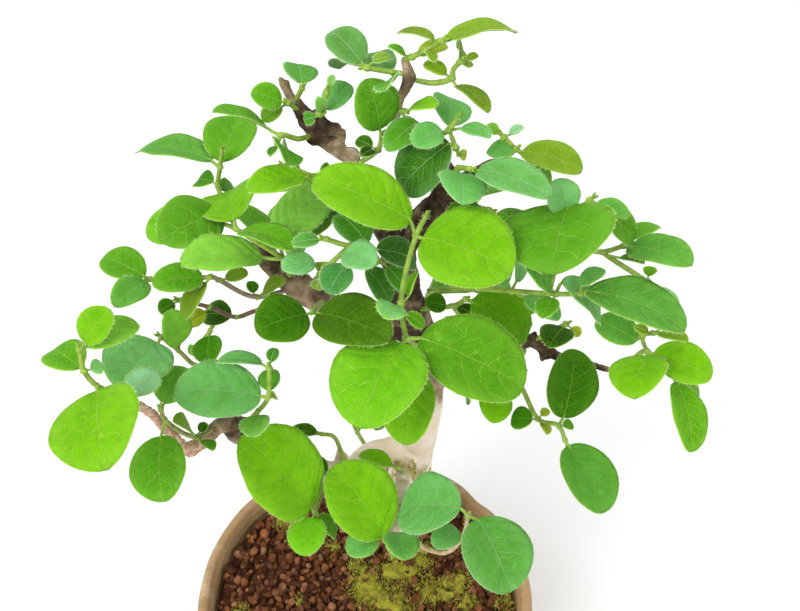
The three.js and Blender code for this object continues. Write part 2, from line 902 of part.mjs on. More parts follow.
for (const [name, route] of Object.entries(WOOD)) {
  rememberTube(
    name,
    route.map((point) => at(point)),
    route.map((point) => point[3]),
    CLEAR.wood,
  );
}

const woodSolid = wood(0);
const woodThick = wood(GAP);

// Every shoot's stems are placed before any leaf, so that leaves keep clear of them
const stemsOf = {};
function withBud(points) {
  const [last, before] = [...points].reverse();
  return points.concat(last.clone().addScaledVector(last.clone().sub(before).normalize(), STEM.bud));
}
for (const [name, shoot] of Object.entries(SHOOTS)) {
  stemsOf[name] = shoot.stems.map((letters) => {
    return withBud(Array.from(letters, (letter) => at(shoot.points[letter])));
  });
}
for (const [name, shoot] of Object.entries(FAR_SHOOTS)) {
  stemsOf[name] = [withBud(shoot.points.map((point) => at(point)))];
}
for (const [name, stems] of Object.entries(stemsOf)) {
  for (const points of stems) rememberTube(name, points, points.map(() => STEM.radius), CLEAR.stem);
}

// The leaves that are seen
const leavesOf = {};
for (const [name, shoot] of Object.entries(SHOOTS)) {
  leavesOf[name] = shoot.leaves.map(([letter, base, tip, wide]) => {
    const start = at(shoot.points[letter]);
    const found = settled(name, (swing) => leafFrame(start, base, tip, wide, swing));
    remember(name, found.spots, CLEAR.blade, 5);
    return found.leaf;
  });
}

// True where a point is hidden, in the picture, behind a leaf that is seen
const cover = Object.values(leavesOf)
  .flat()
  .map((leaf) => {
    const foot = seenAt(leaf.base);
    const end = seenAt(onBlade(leaf, 0, 1));
    const left = seenAt(onBlade(leaf, -1, 0.5));
    const right = seenAt(onBlade(leaf, 1, 0.5));
    const length = Math.hypot(end[0] - foot[0], end[1] - foot[1]);
    const lengthwise = [(end[0] - foot[0]) / length, (end[1] - foot[1]) / length];
    const across = (right[0] - left[0]) * lengthwise[1] - (right[1] - left[1]) * lengthwise[0];
    const middle = [(foot[0] + end[0]) / 2, (foot[1] + end[1]) / 2];
    return { middle, lengthwise, length, width: Math.abs(across) };
  });
function isHidden(point) {
  const [seenX, seenY] = seenAt(point);
  return cover.some(({ middle, lengthwise, length, width }) => {
    const dx = seenX - middle[0];
    const dy = seenY - middle[1];
    const along = (dx * lengthwise[0] + dy * lengthwise[1]) / (length / 2);
    const aside = (dx * lengthwise[1] - dy * lengthwise[0]) / (width / 2);
    return along * along + aside * aside < 1;
  });
}

// The far leaves: crossed pairs along each hidden stem, kept where they are hidden and clear
function farFrame(start, outward, length, swing) {
  const axis = outward.clone().addScaledVector(upward, swing / 20).normalize();
  const normal = upward.clone().addScaledVector(ahead, 0.35).addScaledVector(outward, -0.2);
  normal.addScaledVector(axis, -normal.dot(axis)).normalize();
  const side = axis.clone().cross(normal);
  const base = start.clone().addScaledVector(axis, 2.6);
  return { start, base, axis, normal, side, length, width: length * 0.72, far: true };
}
for (const [name, shoot] of Object.entries(FAR_SHOOTS)) {
  const curve = new THREE.CatmullRomCurve3(stemsOf[name][0], false, "centripetal");
  leavesOf[name] = [];
  for (let pair = 0; pair < shoot.pairs; pair += 1) {
    const share = FAR.firstAt + ((1 - FAR.firstAt) * pair) / (shoot.pairs - 1);
    const start = curve.getPoint(share);
    const along = curve.getTangent(share);
    const level = along.clone().cross(upward).normalize();
    const steep = level.clone().cross(along).normalize();
    for (const half of [0, Math.PI]) {
      const angle = half + (pair % 2) * FAR.turn + 0.5;
      const outward = level.clone().multiplyScalar(Math.cos(angle));
      outward.addScaledVector(steep, Math.sin(angle)).addScaledVector(along, 0.45).normalize();
      for (const size of FAR.sizes) {
        const found = settled(name, (swing) => farFrame(start, outward, shoot.leaf * size, swing));
        const seen = found.spots.filter((spot) => !isHidden(spot)).length / found.spots.length;
        if (found.room < 1 || seen > FAR.mostSeen) continue;
        remember(name, found.spots, CLEAR.blade, 5);
        leavesOf[name].push(found.leaf);
        break;
      }
    }
  }
}

// A shoot: its stems and leaves fused, cut clear of the wood and of leaves that were placed before it
const earlier = [];
function shootSolid(name) {
  const stems = stemsOf[name].map((points) =>
    tube(points, points.map(() => STEM.radius), STEM.sides, STEM.step, 0),
  );
  const leaves = leavesOf[name].map((leaf) => leafSolid(leaf, BLADE.thickness));
  let solid = joined(stems.concat(leaves)).subtract(woodThick);
  const crossed = earlier.filter((other) => solid.intersect(other).volume() > 0);
  if (crossed.length) solid = solid.subtract(joined(crossed));
  solid = wholeBody(solid);
  for (const points of stemsOf[name]) {
    earlier.push(tube(points, points.map(() => STEM.radius + GAP), STEM.sides, STEM.step, 0));
  }
  for (const leaf of leavesOf[name]) earlier.push(leafSolid(leaf, BLADE.thickness + 2 * GAP));
  return solid;
}

// The hand-made unevenness of the pot: more at the rim than at the foot
function uneven(x, y, z) {
  const angle = Math.atan2(y, x);
  const share = Math.min(1, z / POT.height);
  const lobes = POT.lobes * (Math.sin(3 * angle + 0.6) * 0.6 + Math.sin(5 * angle + 2) * 0.4);
  const offNotch = Math.atan2(Math.sin(angle - POT.notchAt), Math.cos(angle - POT.notchAt));
  const notch = (POT.notchDepth / 60) * Math.exp(-((offNotch / POT.notchWidth) ** 2));
  return 1 + share * lobes - share ** 4 * notch;
}

function unevenShape(shape) {
  const place = shape.getAttribute("position");
  for (let i = 0; i < place.count; i += 1) {
    const factor = uneven(place.getX(i), place.getY(i), place.getZ(i));
    place.setXYZ(i, place.getX(i) * factor, place.getY(i) * factor, place.getZ(i));
  }
  return shape;
}

// A turned shape about the upright axis from radius and height pairs, from the bottom's middle to the top's
function turned(profile) {
  const points = profile.map(([radius, height]) => new THREE.Vector2(radius, height));
  return new THREE.LatheGeometry(points, POT.sides).rotateX(Math.PI / 2);
}

function potSolid() {
  const floor = POT_INSIDE[POT_INSIDE.length - 1][1];
  const body = solidOf(unevenShape(turned([[0, 0], ...POT_OUTSIDE, ...POT_INSIDE, [0, floor]])));
  const drains = [-1, 1].map((hand) => {
    const drain = new THREE.CylinderGeometry(POT.drainRadius, POT.drainRadius, 40, 12).rotateX(Math.PI / 2);
    return solidOf(drain.translate(hand * POT.drainOffset, 0, 0));
  });
  return body.subtract(joined(drains));
}

// The height of the soil: a low mound round the trunk and granules all over
function soilHeight(x, y) {
  const away = Math.hypot(x - SOIL.moundAt[0], y - SOIL.moundAt[1]) / SOIL.moundWidth;
  const mound = SOIL.moundHeight * Math.exp(-away * away);
  const granules = Math.sin(x * 1.7 + 2 * Math.sin(y * 0.9)) * Math.cos(y * 1.9 + 2 * Math.sin(x * 0.8));
  return SOIL.level + mound + SOIL.bump * granules;
}

function soilSolid() {
  const wall = POT_INSIDE.slice(1)
    .reverse()
    .map(([radius, height]) => [radius - GAP - 0.1, height]);
  wall[0][1] += GAP;
  const inside = unevenShape(turned([[0, wall[0][1]], ...wall, [wall[wall.length - 1][0], 80], [0, 80]]));
  const block = new THREE.BoxGeometry(SOIL.width, SOIL.width, 80, SOIL.cells, SOIL.cells, 1);
  block.translate(0, 0, 40);
  const place = block.getAttribute("position");
  for (let i = 0; i < place.count; i += 1) {
    if (place.getZ(i) > 40) place.setZ(i, soilHeight(place.getX(i), place.getY(i)));
  }
  return wholeBody(solidOf(block).intersect(solidOf(inside)).subtract(woodThick));
}

// Colours and finish
const FINISH = {
  clay: { color: 0xb5a48b, roughness: 0.62, metalness: 0 },
  soil: { color: 0x6b3a26, roughness: 0.95, metalness: 0 },
  bark: { color: 0x9a8672, roughness: 0.85, metalness: 0 },
  lime: { color: 0x7cc629, roughness: 0.5, metalness: 0 },
  mid: { color: 0x55a336, roughness: 0.55, metalness: 0 },
  blue: { color: 0x57a463, roughness: 0.6, metalness: 0 },
  dark: { color: 0x3c7a12, roughness: 0.6, metalness: 0 },
};
// The green of each shoot: lime on the youngest, dark in the shade. The others are mid green.
const TONES = {
  front_pair: "lime",
  lime_left: "lime",
  lime_twig: "lime",
  bottom_left: "lime",
  bottom_centre: "lime",
  left_edge: "lime",
  right_outer: "lime",
  centre_cluster: "blue",
  crown_left_top: "blue",
  crown_left_front: "blue",
  crown_centre: "blue",
  right_blue: "blue",
  apex_left: "blue",
  left_front: "blue",
  bottom_right: "blue",
  dark_pair: "dark",
  left_mid_back: "dark",
  right_under: "dark",
  right_blue_low: "dark",
  right_dark: "dark",
  right_low: "dark",
  bottom_back: "dark",
  bottom_knob: "dark",
};

function piece(name, solid, finish) {
  const mesh = new THREE.Mesh(geometryOf(solid), new THREE.MeshStandardMaterial(FINISH[finish]));
  mesh.name = name;
  return mesh;
}

const bonsai = new THREE.Group();
bonsai.add(piece("pot", potSolid(), "clay"));
bonsai.add(piece("soil", soilSolid(), "soil"));
bonsai.add(piece("trunk_and_branches", wholeBody(woodSolid), "bark"));
for (const name of Object.keys(leavesOf)) {
  bonsai.add(piece(`shoot_${name}`, shootSolid(name), TONES[name] ?? "mid"));
}

export default bonsai;
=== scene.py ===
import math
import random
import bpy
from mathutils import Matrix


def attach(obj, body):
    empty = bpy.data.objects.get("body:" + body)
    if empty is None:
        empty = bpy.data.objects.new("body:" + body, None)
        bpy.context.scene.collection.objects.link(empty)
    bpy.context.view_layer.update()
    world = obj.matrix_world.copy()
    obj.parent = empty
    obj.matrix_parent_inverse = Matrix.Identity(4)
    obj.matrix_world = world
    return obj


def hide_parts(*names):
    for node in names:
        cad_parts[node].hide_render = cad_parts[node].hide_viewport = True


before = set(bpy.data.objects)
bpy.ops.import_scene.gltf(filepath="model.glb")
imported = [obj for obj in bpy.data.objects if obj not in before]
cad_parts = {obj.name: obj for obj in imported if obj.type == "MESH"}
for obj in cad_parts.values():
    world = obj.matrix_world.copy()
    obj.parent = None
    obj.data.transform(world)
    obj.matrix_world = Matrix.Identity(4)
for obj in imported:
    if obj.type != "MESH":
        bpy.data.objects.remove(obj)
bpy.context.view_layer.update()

# A honeysuckle bonsai in a round hand-made clay pot: pot, granules and moss, wood, and leafy shoots.
# Worked out in millimetres, +Z up, origin at the centre of the pot's foot, and made metres at the end.
from types import SimpleNamespace

import bmesh
import bpy
from mathutils import Matrix, Quaternion, Vector, noise
from mathutils.kdtree import KDTree

# The viewer's eye, how far it looks down, and the scale and middle of the picture: what grows is placed
# on the lines of sight to the points where it is seen.
DOWN = math.radians(42.6)
EYE = Vector((13, -169, 356))
AHEAD = Vector((0, math.cos(DOWN), -math.sin(DOWN)))
ABOVE = Vector((0, math.sin(DOWN), math.cos(DOWN)))
RIGHT = Vector((1, 0, 0))
UP = Vector((0, 0, 1))
SIGHT_SCALE = 900
SIGHT_MIDDLE = (400, 305.5)

# The pot: radius and height of its outside up to the middle of the rim, and of its inside down to the floor
POT_OUTSIDE = ((40, 0), (42, 2), (42.5, 6), (52, 20), (58.4, 42), (60.2, 59), (58.8, 62))
POT_INSIDE = ((56.6, 62), (55.2, 59), (52.8, 42), (46, 21), (38, 8))
POT_HEIGHT = 62
NOTCH_AT, NOTCH_DEPTH, NOTCH_WIDTH = 0.73, 1.6, 0.09
LOBES = 0.014
DRAIN_RADIUS, DRAIN_OFFSET = 4.5, 18
SOIL_LEVEL, SOIL_BUMP = 55, 1.1
MOUND_AT, MOUND_HEIGHT, MOUND_WIDTH = (13, 35), 9, 16

# Leaves: how far a blade arches and folds, its width as a share of its length, and the longest, in mm
ARCH, FOLD, ROUNDEST, SLIMMEST, LONGEST = 0.08, 0.2, 0.8, 0.62, 30
BLADE_THICKNESS = 0.55
# How many pairs of side veins a blade has, and how many meshes of its net stand along a millimetre
VEIN_PAIRS, NET_MESHES = 5.2, 0.34
SHORTEST_STALK = 1.8
STEM_RADIUS, STEM_BUD = 0.8, 1
FIRST_FAR_PAIR = 0.22
# Hairs along a millimetre of a blade's length, on a square millimetre of it, and along one of a stem
FRINGE_HAIRS, FACE_HAIRS, STEM_HAIRS = 6.5, 0.22, 2.2
# Granules: how far apart they are laid, and the sizes they come in, in mm
GRANULE_SPACING, GRANULE_SIZES = 2.5, (0.9, 1.1, 1.3, 1.5, 1.9)
CRUMB_TONES = (
    (112, 72, 46), (128, 82, 52), (144, 92, 60), (98, 62, 40), (84, 52, 34), (118, 78, 54), (156, 106, 76),
    (104, 66, 42), (138, 98, 72), (80, 52, 38),
)
# Spikes of moss: on the soil, and how many spots of the wood are tried for one
MOSS_SPIKES, MOSS_SPIKES_ON_WOOD = 6400, 4200
MOSS_TONES = ((196, 186, 40), (160, 158, 30), (214, 200, 58), (138, 132, 30), (222, 206, 88))
WHITE = (1, 1, 1, 1)
# The materials' places on a leafy shoot
ON_BLADE, ON_STEM, ON_HAIR = 0, 1, 2

# Wood: each limb's route as (across, down, back, radius), thickest first
WOOD = {
    "trunk": (
        (407, 512, 38, 10), (409, 480, 37, 8.4), (414, 448, 35, 6.9), (423, 408, 33, 6.5),
        (424, 352, 31, 5.7), (406, 300, 29, 5.1), (396, 240, 27, 4.6),
    ),
    "low_left_limb": (
        (411, 450, 35, 5.2), (391, 452, 31, 5.4), (371, 457, 27, 5.2), (346, 473, 18, 4),
        (318, 469, 12, 3.5), (280, 452, 7, 3.3), (240, 430, 3, 3.9), (222, 425, 0, 2.2),
        (190, 449, -5, 2), (168, 431, -7, 1.4), (148, 411, -8, 1.2), (112, 392, -12, 1.2),
    ),
    "low_front_limb": ((409, 452, 34, 3.6), (404, 480, 17, 2.9), (399, 512, -2, 2.3), (392, 536, -12, 1.8)),
    "left_limb": (
        (417, 332, 30, 4.5), (380, 322, 33, 4.5), (325, 303, 35, 4.4), (298, 285, 36, 4.3),
        (272, 264, 36, 3.4), (250, 246, 34, 1.8),
    ),
    "right_limb": (
        (420, 345, 30, 4), (464, 350, 27, 2.7), (500, 351, 22, 2), (520, 344, 18, 1.7),
        (532, 341, 17, 1.8), (546, 350, 16, 1.8), (568, 361, 14, 1.2), (592, 365, 12, 1), (613, 371, 9, 0.8),
    ),
    "leader": (
        (400, 248, 27, 4.4), (418, 223, 27, 3.6), (448, 192, 28, 3.4), (440, 165, 30, 2.8),
        (404, 136, 32, 1.5), (395, 112, 32, 0.9), (409, 77, 33, 1.5), (403, 57, 34, 0.8),
    ),
    "upper_right_limb": ((446, 192, 28, 3), (470, 178, 29, 2.2), (494, 166, 30, 2), (507, 158, 29, 1.6)),
    "upper_left_limb": (
        (398, 244, 27, 4.2), (381, 217, 29, 3.6), (364, 188, 31, 2.5), (351, 160, 33, 1.9),
        (334, 149, 34, 1.7), (317, 131, 35, 2.8), (303, 113, 36, 2), (292, 99, 37, 1.2), (279, 77, 38, 0.8),
    ),
    "left_root": ((405, 492, 37, 5.5), (378, 509, 33, 4), (346, 529, 30, 2)),
    "front_root": ((406, 492, 37, 5), (402, 514, 31, 4), (403, 540, 23, 2)),
    "right_root": ((411, 492, 37, 5), (424, 504, 35, 3.6), (438, 521, 32, 2)),
}
# How dark and rough the bark is along each limb, from its foot to its end, 0 to 1: the bark's age, with
# painted shade added where the wood stands in the crown's shade, most of all high on the trunk
BARK_AGE_AND_SHADE = {
    "trunk": (0, 0, 0.05, 0.15, 0.8, 0.95, 1),
    "low_left_limb": (0.05, 0.1, 0.1, 0.2, 0.35, 0.6, 0.9, 0.45, 0.3, 0.25, 0.25),
    "low_front_limb": (0.08, 0.3, 0.4),
    "left_limb": (0.9, 0.8, 0.65, 0.7, 0.8),
    "right_limb": (0.9, 0.9, 0.85),
    "leader": (1, 1, 1, 0.8, 0.45, 0.35, 0.8, 0.6),
    "upper_right_limb": (0.95, 0.9),
    "upper_left_limb": (1, 0.9, 0.7, 0.45, 0.4, 0.95, 0.85, 0.6, 0.7),
    "left_root": (0.1, 0.4),
    "front_root": (0.1, 0.4),
    "right_root": (0.1, 0.4),
}
# Knots on the wood, as (across, down, back, radius)
KNOTS = (
    (352, 155, 33, 2.2), (338, 147, 34, 2), (321, 128, 35, 3.1), (308, 121, 36, 2.6), (330, 138, 35, 1.8),
    (335, 129, 34, 1.7), (313, 139, 34, 1.9), (318, 115, 35, 1.7), (297, 104, 37, 1.7),
    (392, 452, 31, 6), (374, 459, 27, 5.6), (342, 458, 19, 2.4), (240, 430, 3, 4.4), (228, 420, 2, 2.6),
    (533, 340, 17, 2.1), (546, 352, 16, 2.2), (446, 190, 28, 3.9), (409, 77, 33, 1.8), (298, 285, 36, 4.7),
    (410, 457, 33, 6.6), (190, 449, -5, 2.2), (148, 411, -8, 1.4),
)

# Shoots that are seen. Points are (across, down, back). A stem runs through its letters. A leaf has the
# point its stalk leaves from, the base and the tip of its blade, how wide the blade is seen, how far the
# tip swings away from the eye, and its green.
SHOOTS = {
    "front_pair": {
        "points": {
            "a": (420, 342, 29), "b": (418, 346, 14), "c": (406, 338, -3), "d": (401, 303, 0),
            "e": (416, 236, 7), "f": (425, 218, 8),
        },
        "stems": ("abc", "cdef"),
        "leaves": (
            ("c", (403, 343), (357, 427), 88, 0, "limemid"), ("c", (420, 338), (524, 388), 80, 0, "mid"),
            ("b", (417, 374), (407, 445), 52, 0, "limedark"), ("e", (411, 221), (313, 179), 57, -12, "lime"),
            ("e", (419, 241), (513, 270), 82, 0, "lime"), ("d", (407, 300), (384, 318), 30, 0, "lightblue"),
            ("d", (406, 314), (424, 327), 14, 4, "mid"), ("d", (409, 296), (418, 271), 8, 0, "lime"),
        ),
    },
    "right_under": {
        "points": {
            "a": (409, 310, 29), "b": (452, 306, 19), "c": (466, 299, 12), "d": (480, 340, 22),
            "e": (492, 378, 16),
        },
        "stems": ("abc", "bde"),
        "leaves": (
            ("c", (469, 300), (529, 335), 54, 12, "darklime"), ("b", (450, 302), (425, 302), 20, -4, "dark"),
            ("b", (452, 310), (479, 317), 14, 0, "verydark"), ("e", (492, 386), (494, 423), 33, 0, "lime"),
        ),
    },
    "centre_cluster": {
        "points": {
            "a": (398, 250, 27), "b": (382, 262, 18), "c": (372, 248, 11), "d": (349, 246, 8),
            "e": (326, 239, 6), "f": (320, 274, 7),
        },
        "stems": ("abc", "cde", "df"),
        "leaves": (
            ("c", (370, 243), (338, 213), 34, 0, "middark"), ("c", (377, 249), (416, 262), 30, 16, "dark"),
            ("d", (344, 252), (376, 264), 32, 0, "lightblue"),
            ("d", (346, 265), (329, 294), 33, 4, "bluedark"),
            ("f", (315, 263), (281, 267), 24, 0, "lightblue"),
            ("f", (321, 272), (323, 262), 14, 0, "yellow"), ("f", (319, 278), (317, 290), 13, 4, "olive"),
            ("b", (378, 264), (407, 292), 20, 4, "mid"), ("b", (366, 269), (390, 304), 26, 12, "middark"),
            ("e", (322, 240), (292, 244), 15, 0, "bluemid"),
        ),
    },
    "dark_pair": {
        "points": {
            "a": (325, 303, 35), "b": (319, 304, 18), "c": (313, 312, 8),
        },
        "stems": ("abc",),
        "leaves": (
            ("c", (318, 311), (390, 338), 54, -8, "olivedark"), ("c", (309, 312), (256, 331), 50, 0, "dark"),
        ),
    },
    "left_upper": {
        "points": {
            "a": (290, 278, 36), "m": (288, 268, 27), "b": (284, 259, 14), "c": (252, 239, 13),
            "d": (236, 229, 18), "e": (217, 222, 30), "i": (230, 213, 27), "f": (218, 187, 38),
            "g": (220, 167, 38), "h": (222, 152, 38),
        },
        "stems": ("ambcde", "difgh"),
        "leaves": (
            ("b", (277, 238), (328, 191), 46, 0, "light"), ("b", (262, 257), (180, 262), 36, 0, "palelime"),
            ("m", (292, 246), (338, 204), 32, 0, "dark"), ("d", (242, 227), (294, 250), 24, -4, "limemid"),
            ("d", (234, 221), (232, 189), 62, 0, "lime"), ("e", (212, 226), (146, 234), 42, 0, "limemid"),
            ("i", (219, 214), (160, 240), 54, -4, "mid"), ("f", (213, 182), (197, 182), 17, 4, "middark"),
            ("f", (223, 184), (238, 196), 14, 16, "mid"), ("g", (212, 161), (139, 150), 24, 0, "bluemid"),
            ("g", (225, 165), (241, 117), 50, 0, "mid"),
        ),
    },
    "lime_left": {
        "points": {
            "a": (356, 170, 32), "b": (336, 172, 26), "c": (313, 176, 20), "d": (286, 166, 22),
        },
        "stems": ("abc", "cd"),
        "leaves": (
            ("c", (309, 180), (247, 190), 27, 0, "lime"), ("b", (341, 168), (320, 169), 15, 0, "dark"),
            ("d", (285, 162), (284, 149), 12, 12, "middark"),
        ),
    },
    "crown_left": {
        "points": {
            "a": (302, 112, 36), "b": (288, 103, 33),
        },
        "stems": ("ab",),
        "leaves": (
            ("b", (284, 98), (251, 93), 26, -8, "mid"), ("b", (284, 108), (262, 120), 18, 4, "olivemid"),
        ),
    },
    "crown_left_top": {
        "points": {
            "a": (294, 104, 37), "b": (302, 88, 34),
        },
        "stems": ("ab",),
        "leaves": (
            ("b", (302, 86), (297, 64), 34, -4, "bluemid"),
        ),
    },
    "crown_left_front": {
        "points": {
            "a": (306, 117, 36), "b": (321, 114, 31), "c": (327, 92, 31),
        },
        "stems": ("ab", "bc"),
        "leaves": (
            ("b", (325, 112), (350, 84), 26, 0, "blue"), ("b", (316, 109), (317, 97), 12, -8, "light"),
            ("b", (315, 115), (304, 121), 14, 4, "middark"), ("c", (326, 87), (333, 75), 8, 0, "light"),
        ),
    },
    "crown_left_low": {
        "points": {
            "a": (314, 134, 35), "b": (298, 139, 29), "c": (281, 135, 26), "d": (277, 144, 25),
        },
        "stems": ("abcd",),
        "leaves": (
            ("c", (267, 128), (213, 111), 10, -12, "mid"), ("d", (273, 147), (270, 156), 8, -4, "middark"),
            ("d", (281, 149), (288, 164), 14, -12, "middark"),
        ),
    },
    "crown_big": {
        "points": {
            "a": (356, 165, 32), "b": (378, 150, 30), "c": (382, 136, 28),
        },
        "stems": ("abc",),
        "leaves": (
            ("c", (384, 131), (366, 79), 46, -12, "mid"), ("b", (373, 148), (356, 140), 15, 0, "dark"),
            ("b", (384, 153), (361, 156), 12, -4, "verydark"),
        ),
    },
    "crown_centre": {
        "points": {
            "a": (418, 150, 31), "b": (434, 137, 27), "c": (449, 130, 24), "d": (457, 119, 24),
            "e": (456, 148, 22),
        },
        "stems": ("abcd", "ce"),
        "leaves": (
            ("c", (452, 128), (449, 97), 40, 0, "blue"), ("c", (445, 131), (411, 143), 27, 0, "blue"),
            ("c", (461, 128), (491, 137), 14, 0, "blue"), ("e", (450, 143), (401, 189), 54, 16, "dark"),
            ("b", (418, 122), (386, 150), 28, 0, "mid"), ("e", (460, 146), (466, 157), 11, 4, "yellow"),
        ),
    },
    "lime_twig": {
        "points": {
            "a": (396, 110, 32), "b": (404, 111, 30),
        },
        "stems": ("ab",),
        "leaves": (
            ("b", (407, 111), (436, 107), 11, -12, "lime"),
        ),
    },
    "apex": {
        "points": {
            "a": (404, 60, 34), "b": (412, 57, 32), "c": (426, 50, 31), "d": (441, 41, 30),
        },
        "stems": ("abcd",),
        "leaves": (
            ("d", (447, 39), (516, 31), 15, 0, "olivelime"), ("d", (436, 37), (398, 32), 9, 0, "olive"),
            ("b", (416, 55), (447, 45), 15, 0, "yellow"), ("b", (409, 51), (388, 46), 7, -4, "mid"),
            ("c", (424, 54), (433, 62), 10, -4, "olive"),
        ),
    },
    "apex_left": {
        "points": {
            "a": (407, 74, 33), "b": (392, 72, 33), "c": (367, 68, 32),
        },
        "stems": ("abc",),
        "leaves": (
            ("c", (364, 62), (331, 31), 36, 0, "dullblue"), ("b", (390, 70), (339, 66), 16, 16, "dullblue"),
            ("c", (372, 62), (391, 57), 10, 0, "olivelime"), ("b", (394, 80), (384, 91), 8, -8, "mid"),
        ),
    },
    "apex_right": {
        "points": {
            "a": (410, 79, 33), "b": (433, 83, 32), "c": (452, 78, 30), "d": (453, 70, 30),
            "e": (460, 62, 29),
        },
        "stems": ("abcde",),
        "leaves": (
            ("c", (450, 79), (424, 63), 14, 0, "olivelime"), ("c", (456, 86), (489, 112), 14, 0, "olive"),
            ("e", (460, 59), (458, 47), 9, 12, "olive"), ("e", (464, 61), (478, 55), 8, 0, "olive"),
        ),
    },
    "right_crown": {
        "points": {
            "a": (505, 159, 29), "b": (516, 149, 25), "c": (504, 137, 26),
        },
        "stems": ("ab", "bc"),
        "leaves": (
            ("c", (504, 133), (523, 126), 9, 0, "grey"), ("c", (500, 136), (486, 126), 12, 0, "light"),
            ("b", (512, 155), (489, 148), 20, 4, "blue"), ("b", (520, 147), (582, 171), 30, 0, "olive"),
            ("b", (519, 154), (551, 186), 14, 8, "mid"),
        ),
    },
    "right_blue": {
        "points": {
            "a": (452, 189, 28), "b": (458, 168, 18), "c": (470, 169, 14),
        },
        "stems": ("abc",),
        "leaves": (
            ("c", (476, 172), (550, 196), 33, 0, "blue"), ("b", (458, 163), (463, 204), 45, 0, "blue"),
        ),
    },
    "right_blue_low": {
        "points": {
            "a": (441, 200, 28), "b": (466, 204, 24), "c": (489, 210, 22),
        },
        "stems": ("abc",),
        "leaves": (
            ("c", (489, 214), (446, 221), 30, 0, "dark"), ("c", (494, 206), (508, 232), 20, 4, "limemid"),
        ),
    },
    "right_big": {
        "points": {
            "a": (428, 290, 28), "b": (475, 289, 14), "c": (512, 291, 7), "d": (556, 294, 2),
            "e": (580, 294, 1), "f": (555, 268, 5), "g": (566, 238, 10), "h": (575, 213, 13),
            "i": (590, 200, 14), "j": (601, 252, 14), "k": (623, 246, 15), "l": (648, 282, 13),
            "m": (549, 295, 3),
        },
        "stems": ("abcde", "mfghi", "gjk", "jl"),
        "leaves": (
            ("h", (570, 205), (552, 274), 104, 12, "mid"),
            ("h", (566, 214), (556, 179), 34, -8, "lightblue"),
            ("i", (593, 200), (629, 217), 17, 0, "bluemid"), ("i", (600, 210), (634, 241), 28, 12, "mid"),
            ("k", (628, 240), (659, 226), 15, 0, "mid"), ("k", (627, 246), (692, 264), 31, -8, "bluemid"),
            ("j", (620, 258), (645, 263), 8, 0, "mid"), ("l", (657, 287), (676, 317), 16, 0, "lightblue"),
            ("l", (653, 284), (653, 267), 13, 0, "lime"), ("e", (587, 291), (686, 329), 42, 0, "bluemid"),
            ("e", (581, 286), (604, 269), 16, 0, "blue"), ("d", (562, 281), (601, 321), 21, 12, "lightblue"),
            ("d", (553, 299), (542, 318), 22, 0, "mid"), ("c", (525, 298), (560, 319), 21, 0, "blue"),
            ("c", (516, 282), (517, 243), 12, 0, "lightblue"),
            ("d", (550, 288), (526, 266), 22, -12, "bluemid"),
        ),
    },
    "right_low": {
        "points": {
            "a": (500, 352, 21), "b": (522, 388, 14), "c": (538, 419, 5), "d": (559, 426, -2),
            "e": (565, 440, -4),
        },
        "stems": ("abcde",),
        "leaves": (
            ("c", (534, 420), (511, 420), 23, 0, "middark"), ("c", (543, 417), (549, 410), 9, 0, "yellow"),
            ("c", (543, 424), (547, 434), 9, -4, "yellow"), ("d", (563, 426), (573, 425), 11, 0, "mid"),
            ("d", (563, 418), (574, 349), 50, -8, "dark"), ("e", (567, 445), (606, 512), 49, 0, "bluemid"),
        ),
    },
    "right_dark": {
        "points": {
            "a": (533, 341, 17), "b": (552, 331, 13), "c": (566, 324, 10),
        },
        "stems": ("abc",),
        "leaves": (
            ("c", (563, 322), (549, 347), 31, 0, "verydark"), ("c", (569, 327), (580, 336), 11, 0, "yellow"),
        ),
    },
    "right_outer": {
        "points": {
            "a": (613, 371, 9), "b": (632, 360, 6), "c": (647, 351, 3), "d": (660, 366, 1),
            "e": (674, 376, -1), "f": (642, 336, 6), "g": (653, 333, 6),
        },
        "stems": ("abcde", "cfg"),
        "leaves": (
            ("c", (642, 347), (634, 398), 52, 0, "lime"), ("c", (652, 352), (712, 377), 40, 0, "lime"),
            ("f", (637, 341), (596, 320), 32, 0, "bluemid"),
            ("g", (657, 334), (688, 341), 12, -4, "olivelime"),
            ("g", (650, 330), (634, 327), 10, -4, "olive"), ("e", (675, 380), (692, 452), 32, 0, "midlime"),
            ("e", (678, 380), (699, 402), 18, 12, "mid"),
        ),
    },
    "left_round": {
        "points": {
            "a": (294, 288, 36), "b": (257, 297, 29), "c": (219, 280, 19), "d": (210, 277, 15),
            "e": (180, 281, 18), "f": (150, 279, 13),
        },
        "stems": ("abcdef",),
        "leaves": (
            ("d", (207, 275), (152, 283), 30, 0, "mid"), ("d", (208, 283), (184, 319), 18, 4, "olive"),
            ("c", (222, 276), (248, 272), 14, 0, "olive"), ("f", (144, 276), (103, 257), 35, 0, "mid"),
            ("f", (148, 282), (114, 306), 29, -8, "bluemid"),
            ("b", (260, 292), (250, 281), 12, 0, "middark"), ("b", (263, 293), (285, 281), 13, -8, "olive"),
        ),
    },
    "left_mid_back": {
        "points": {
            "a": (304, 294, 36), "b": (252, 312, 30), "c": (236, 317, 28), "d": (209, 307, 26),
            "e": (180, 300, 23),
        },
        "stems": ("abcde",),
        "leaves": (
            ("c", (233, 318), (204, 314), 27, 0, "verydark"), ("e", (177, 302), (159, 312), 17, 0, "dark"),
            ("d", (205, 306), (187, 326), 18, 0, "yellow"),
        ),
    },
    "left_mid_front": {
        "points": {
            "a": (240, 426, 4), "b": (237, 398, 10), "c": (217, 363, 13), "d": (201, 347, 15),
            "e": (210, 331, 16), "f": (197, 366, 13), "g": (178, 350, 13), "h": (161, 337, 12),
        },
        "stems": ("abcde", "cfgh"),
        "leaves": (
            ("e", (211, 334), (209, 364), 29, 0, "middark"),
            ("d", (198, 345), (188, 352), 12, 0, "palelime"),
            ("g", (180, 344), (167, 311), 31, -12, "palelime"),
            ("h", (158, 343), (117, 387), 62, 0, "lightblue"),
        ),
    },
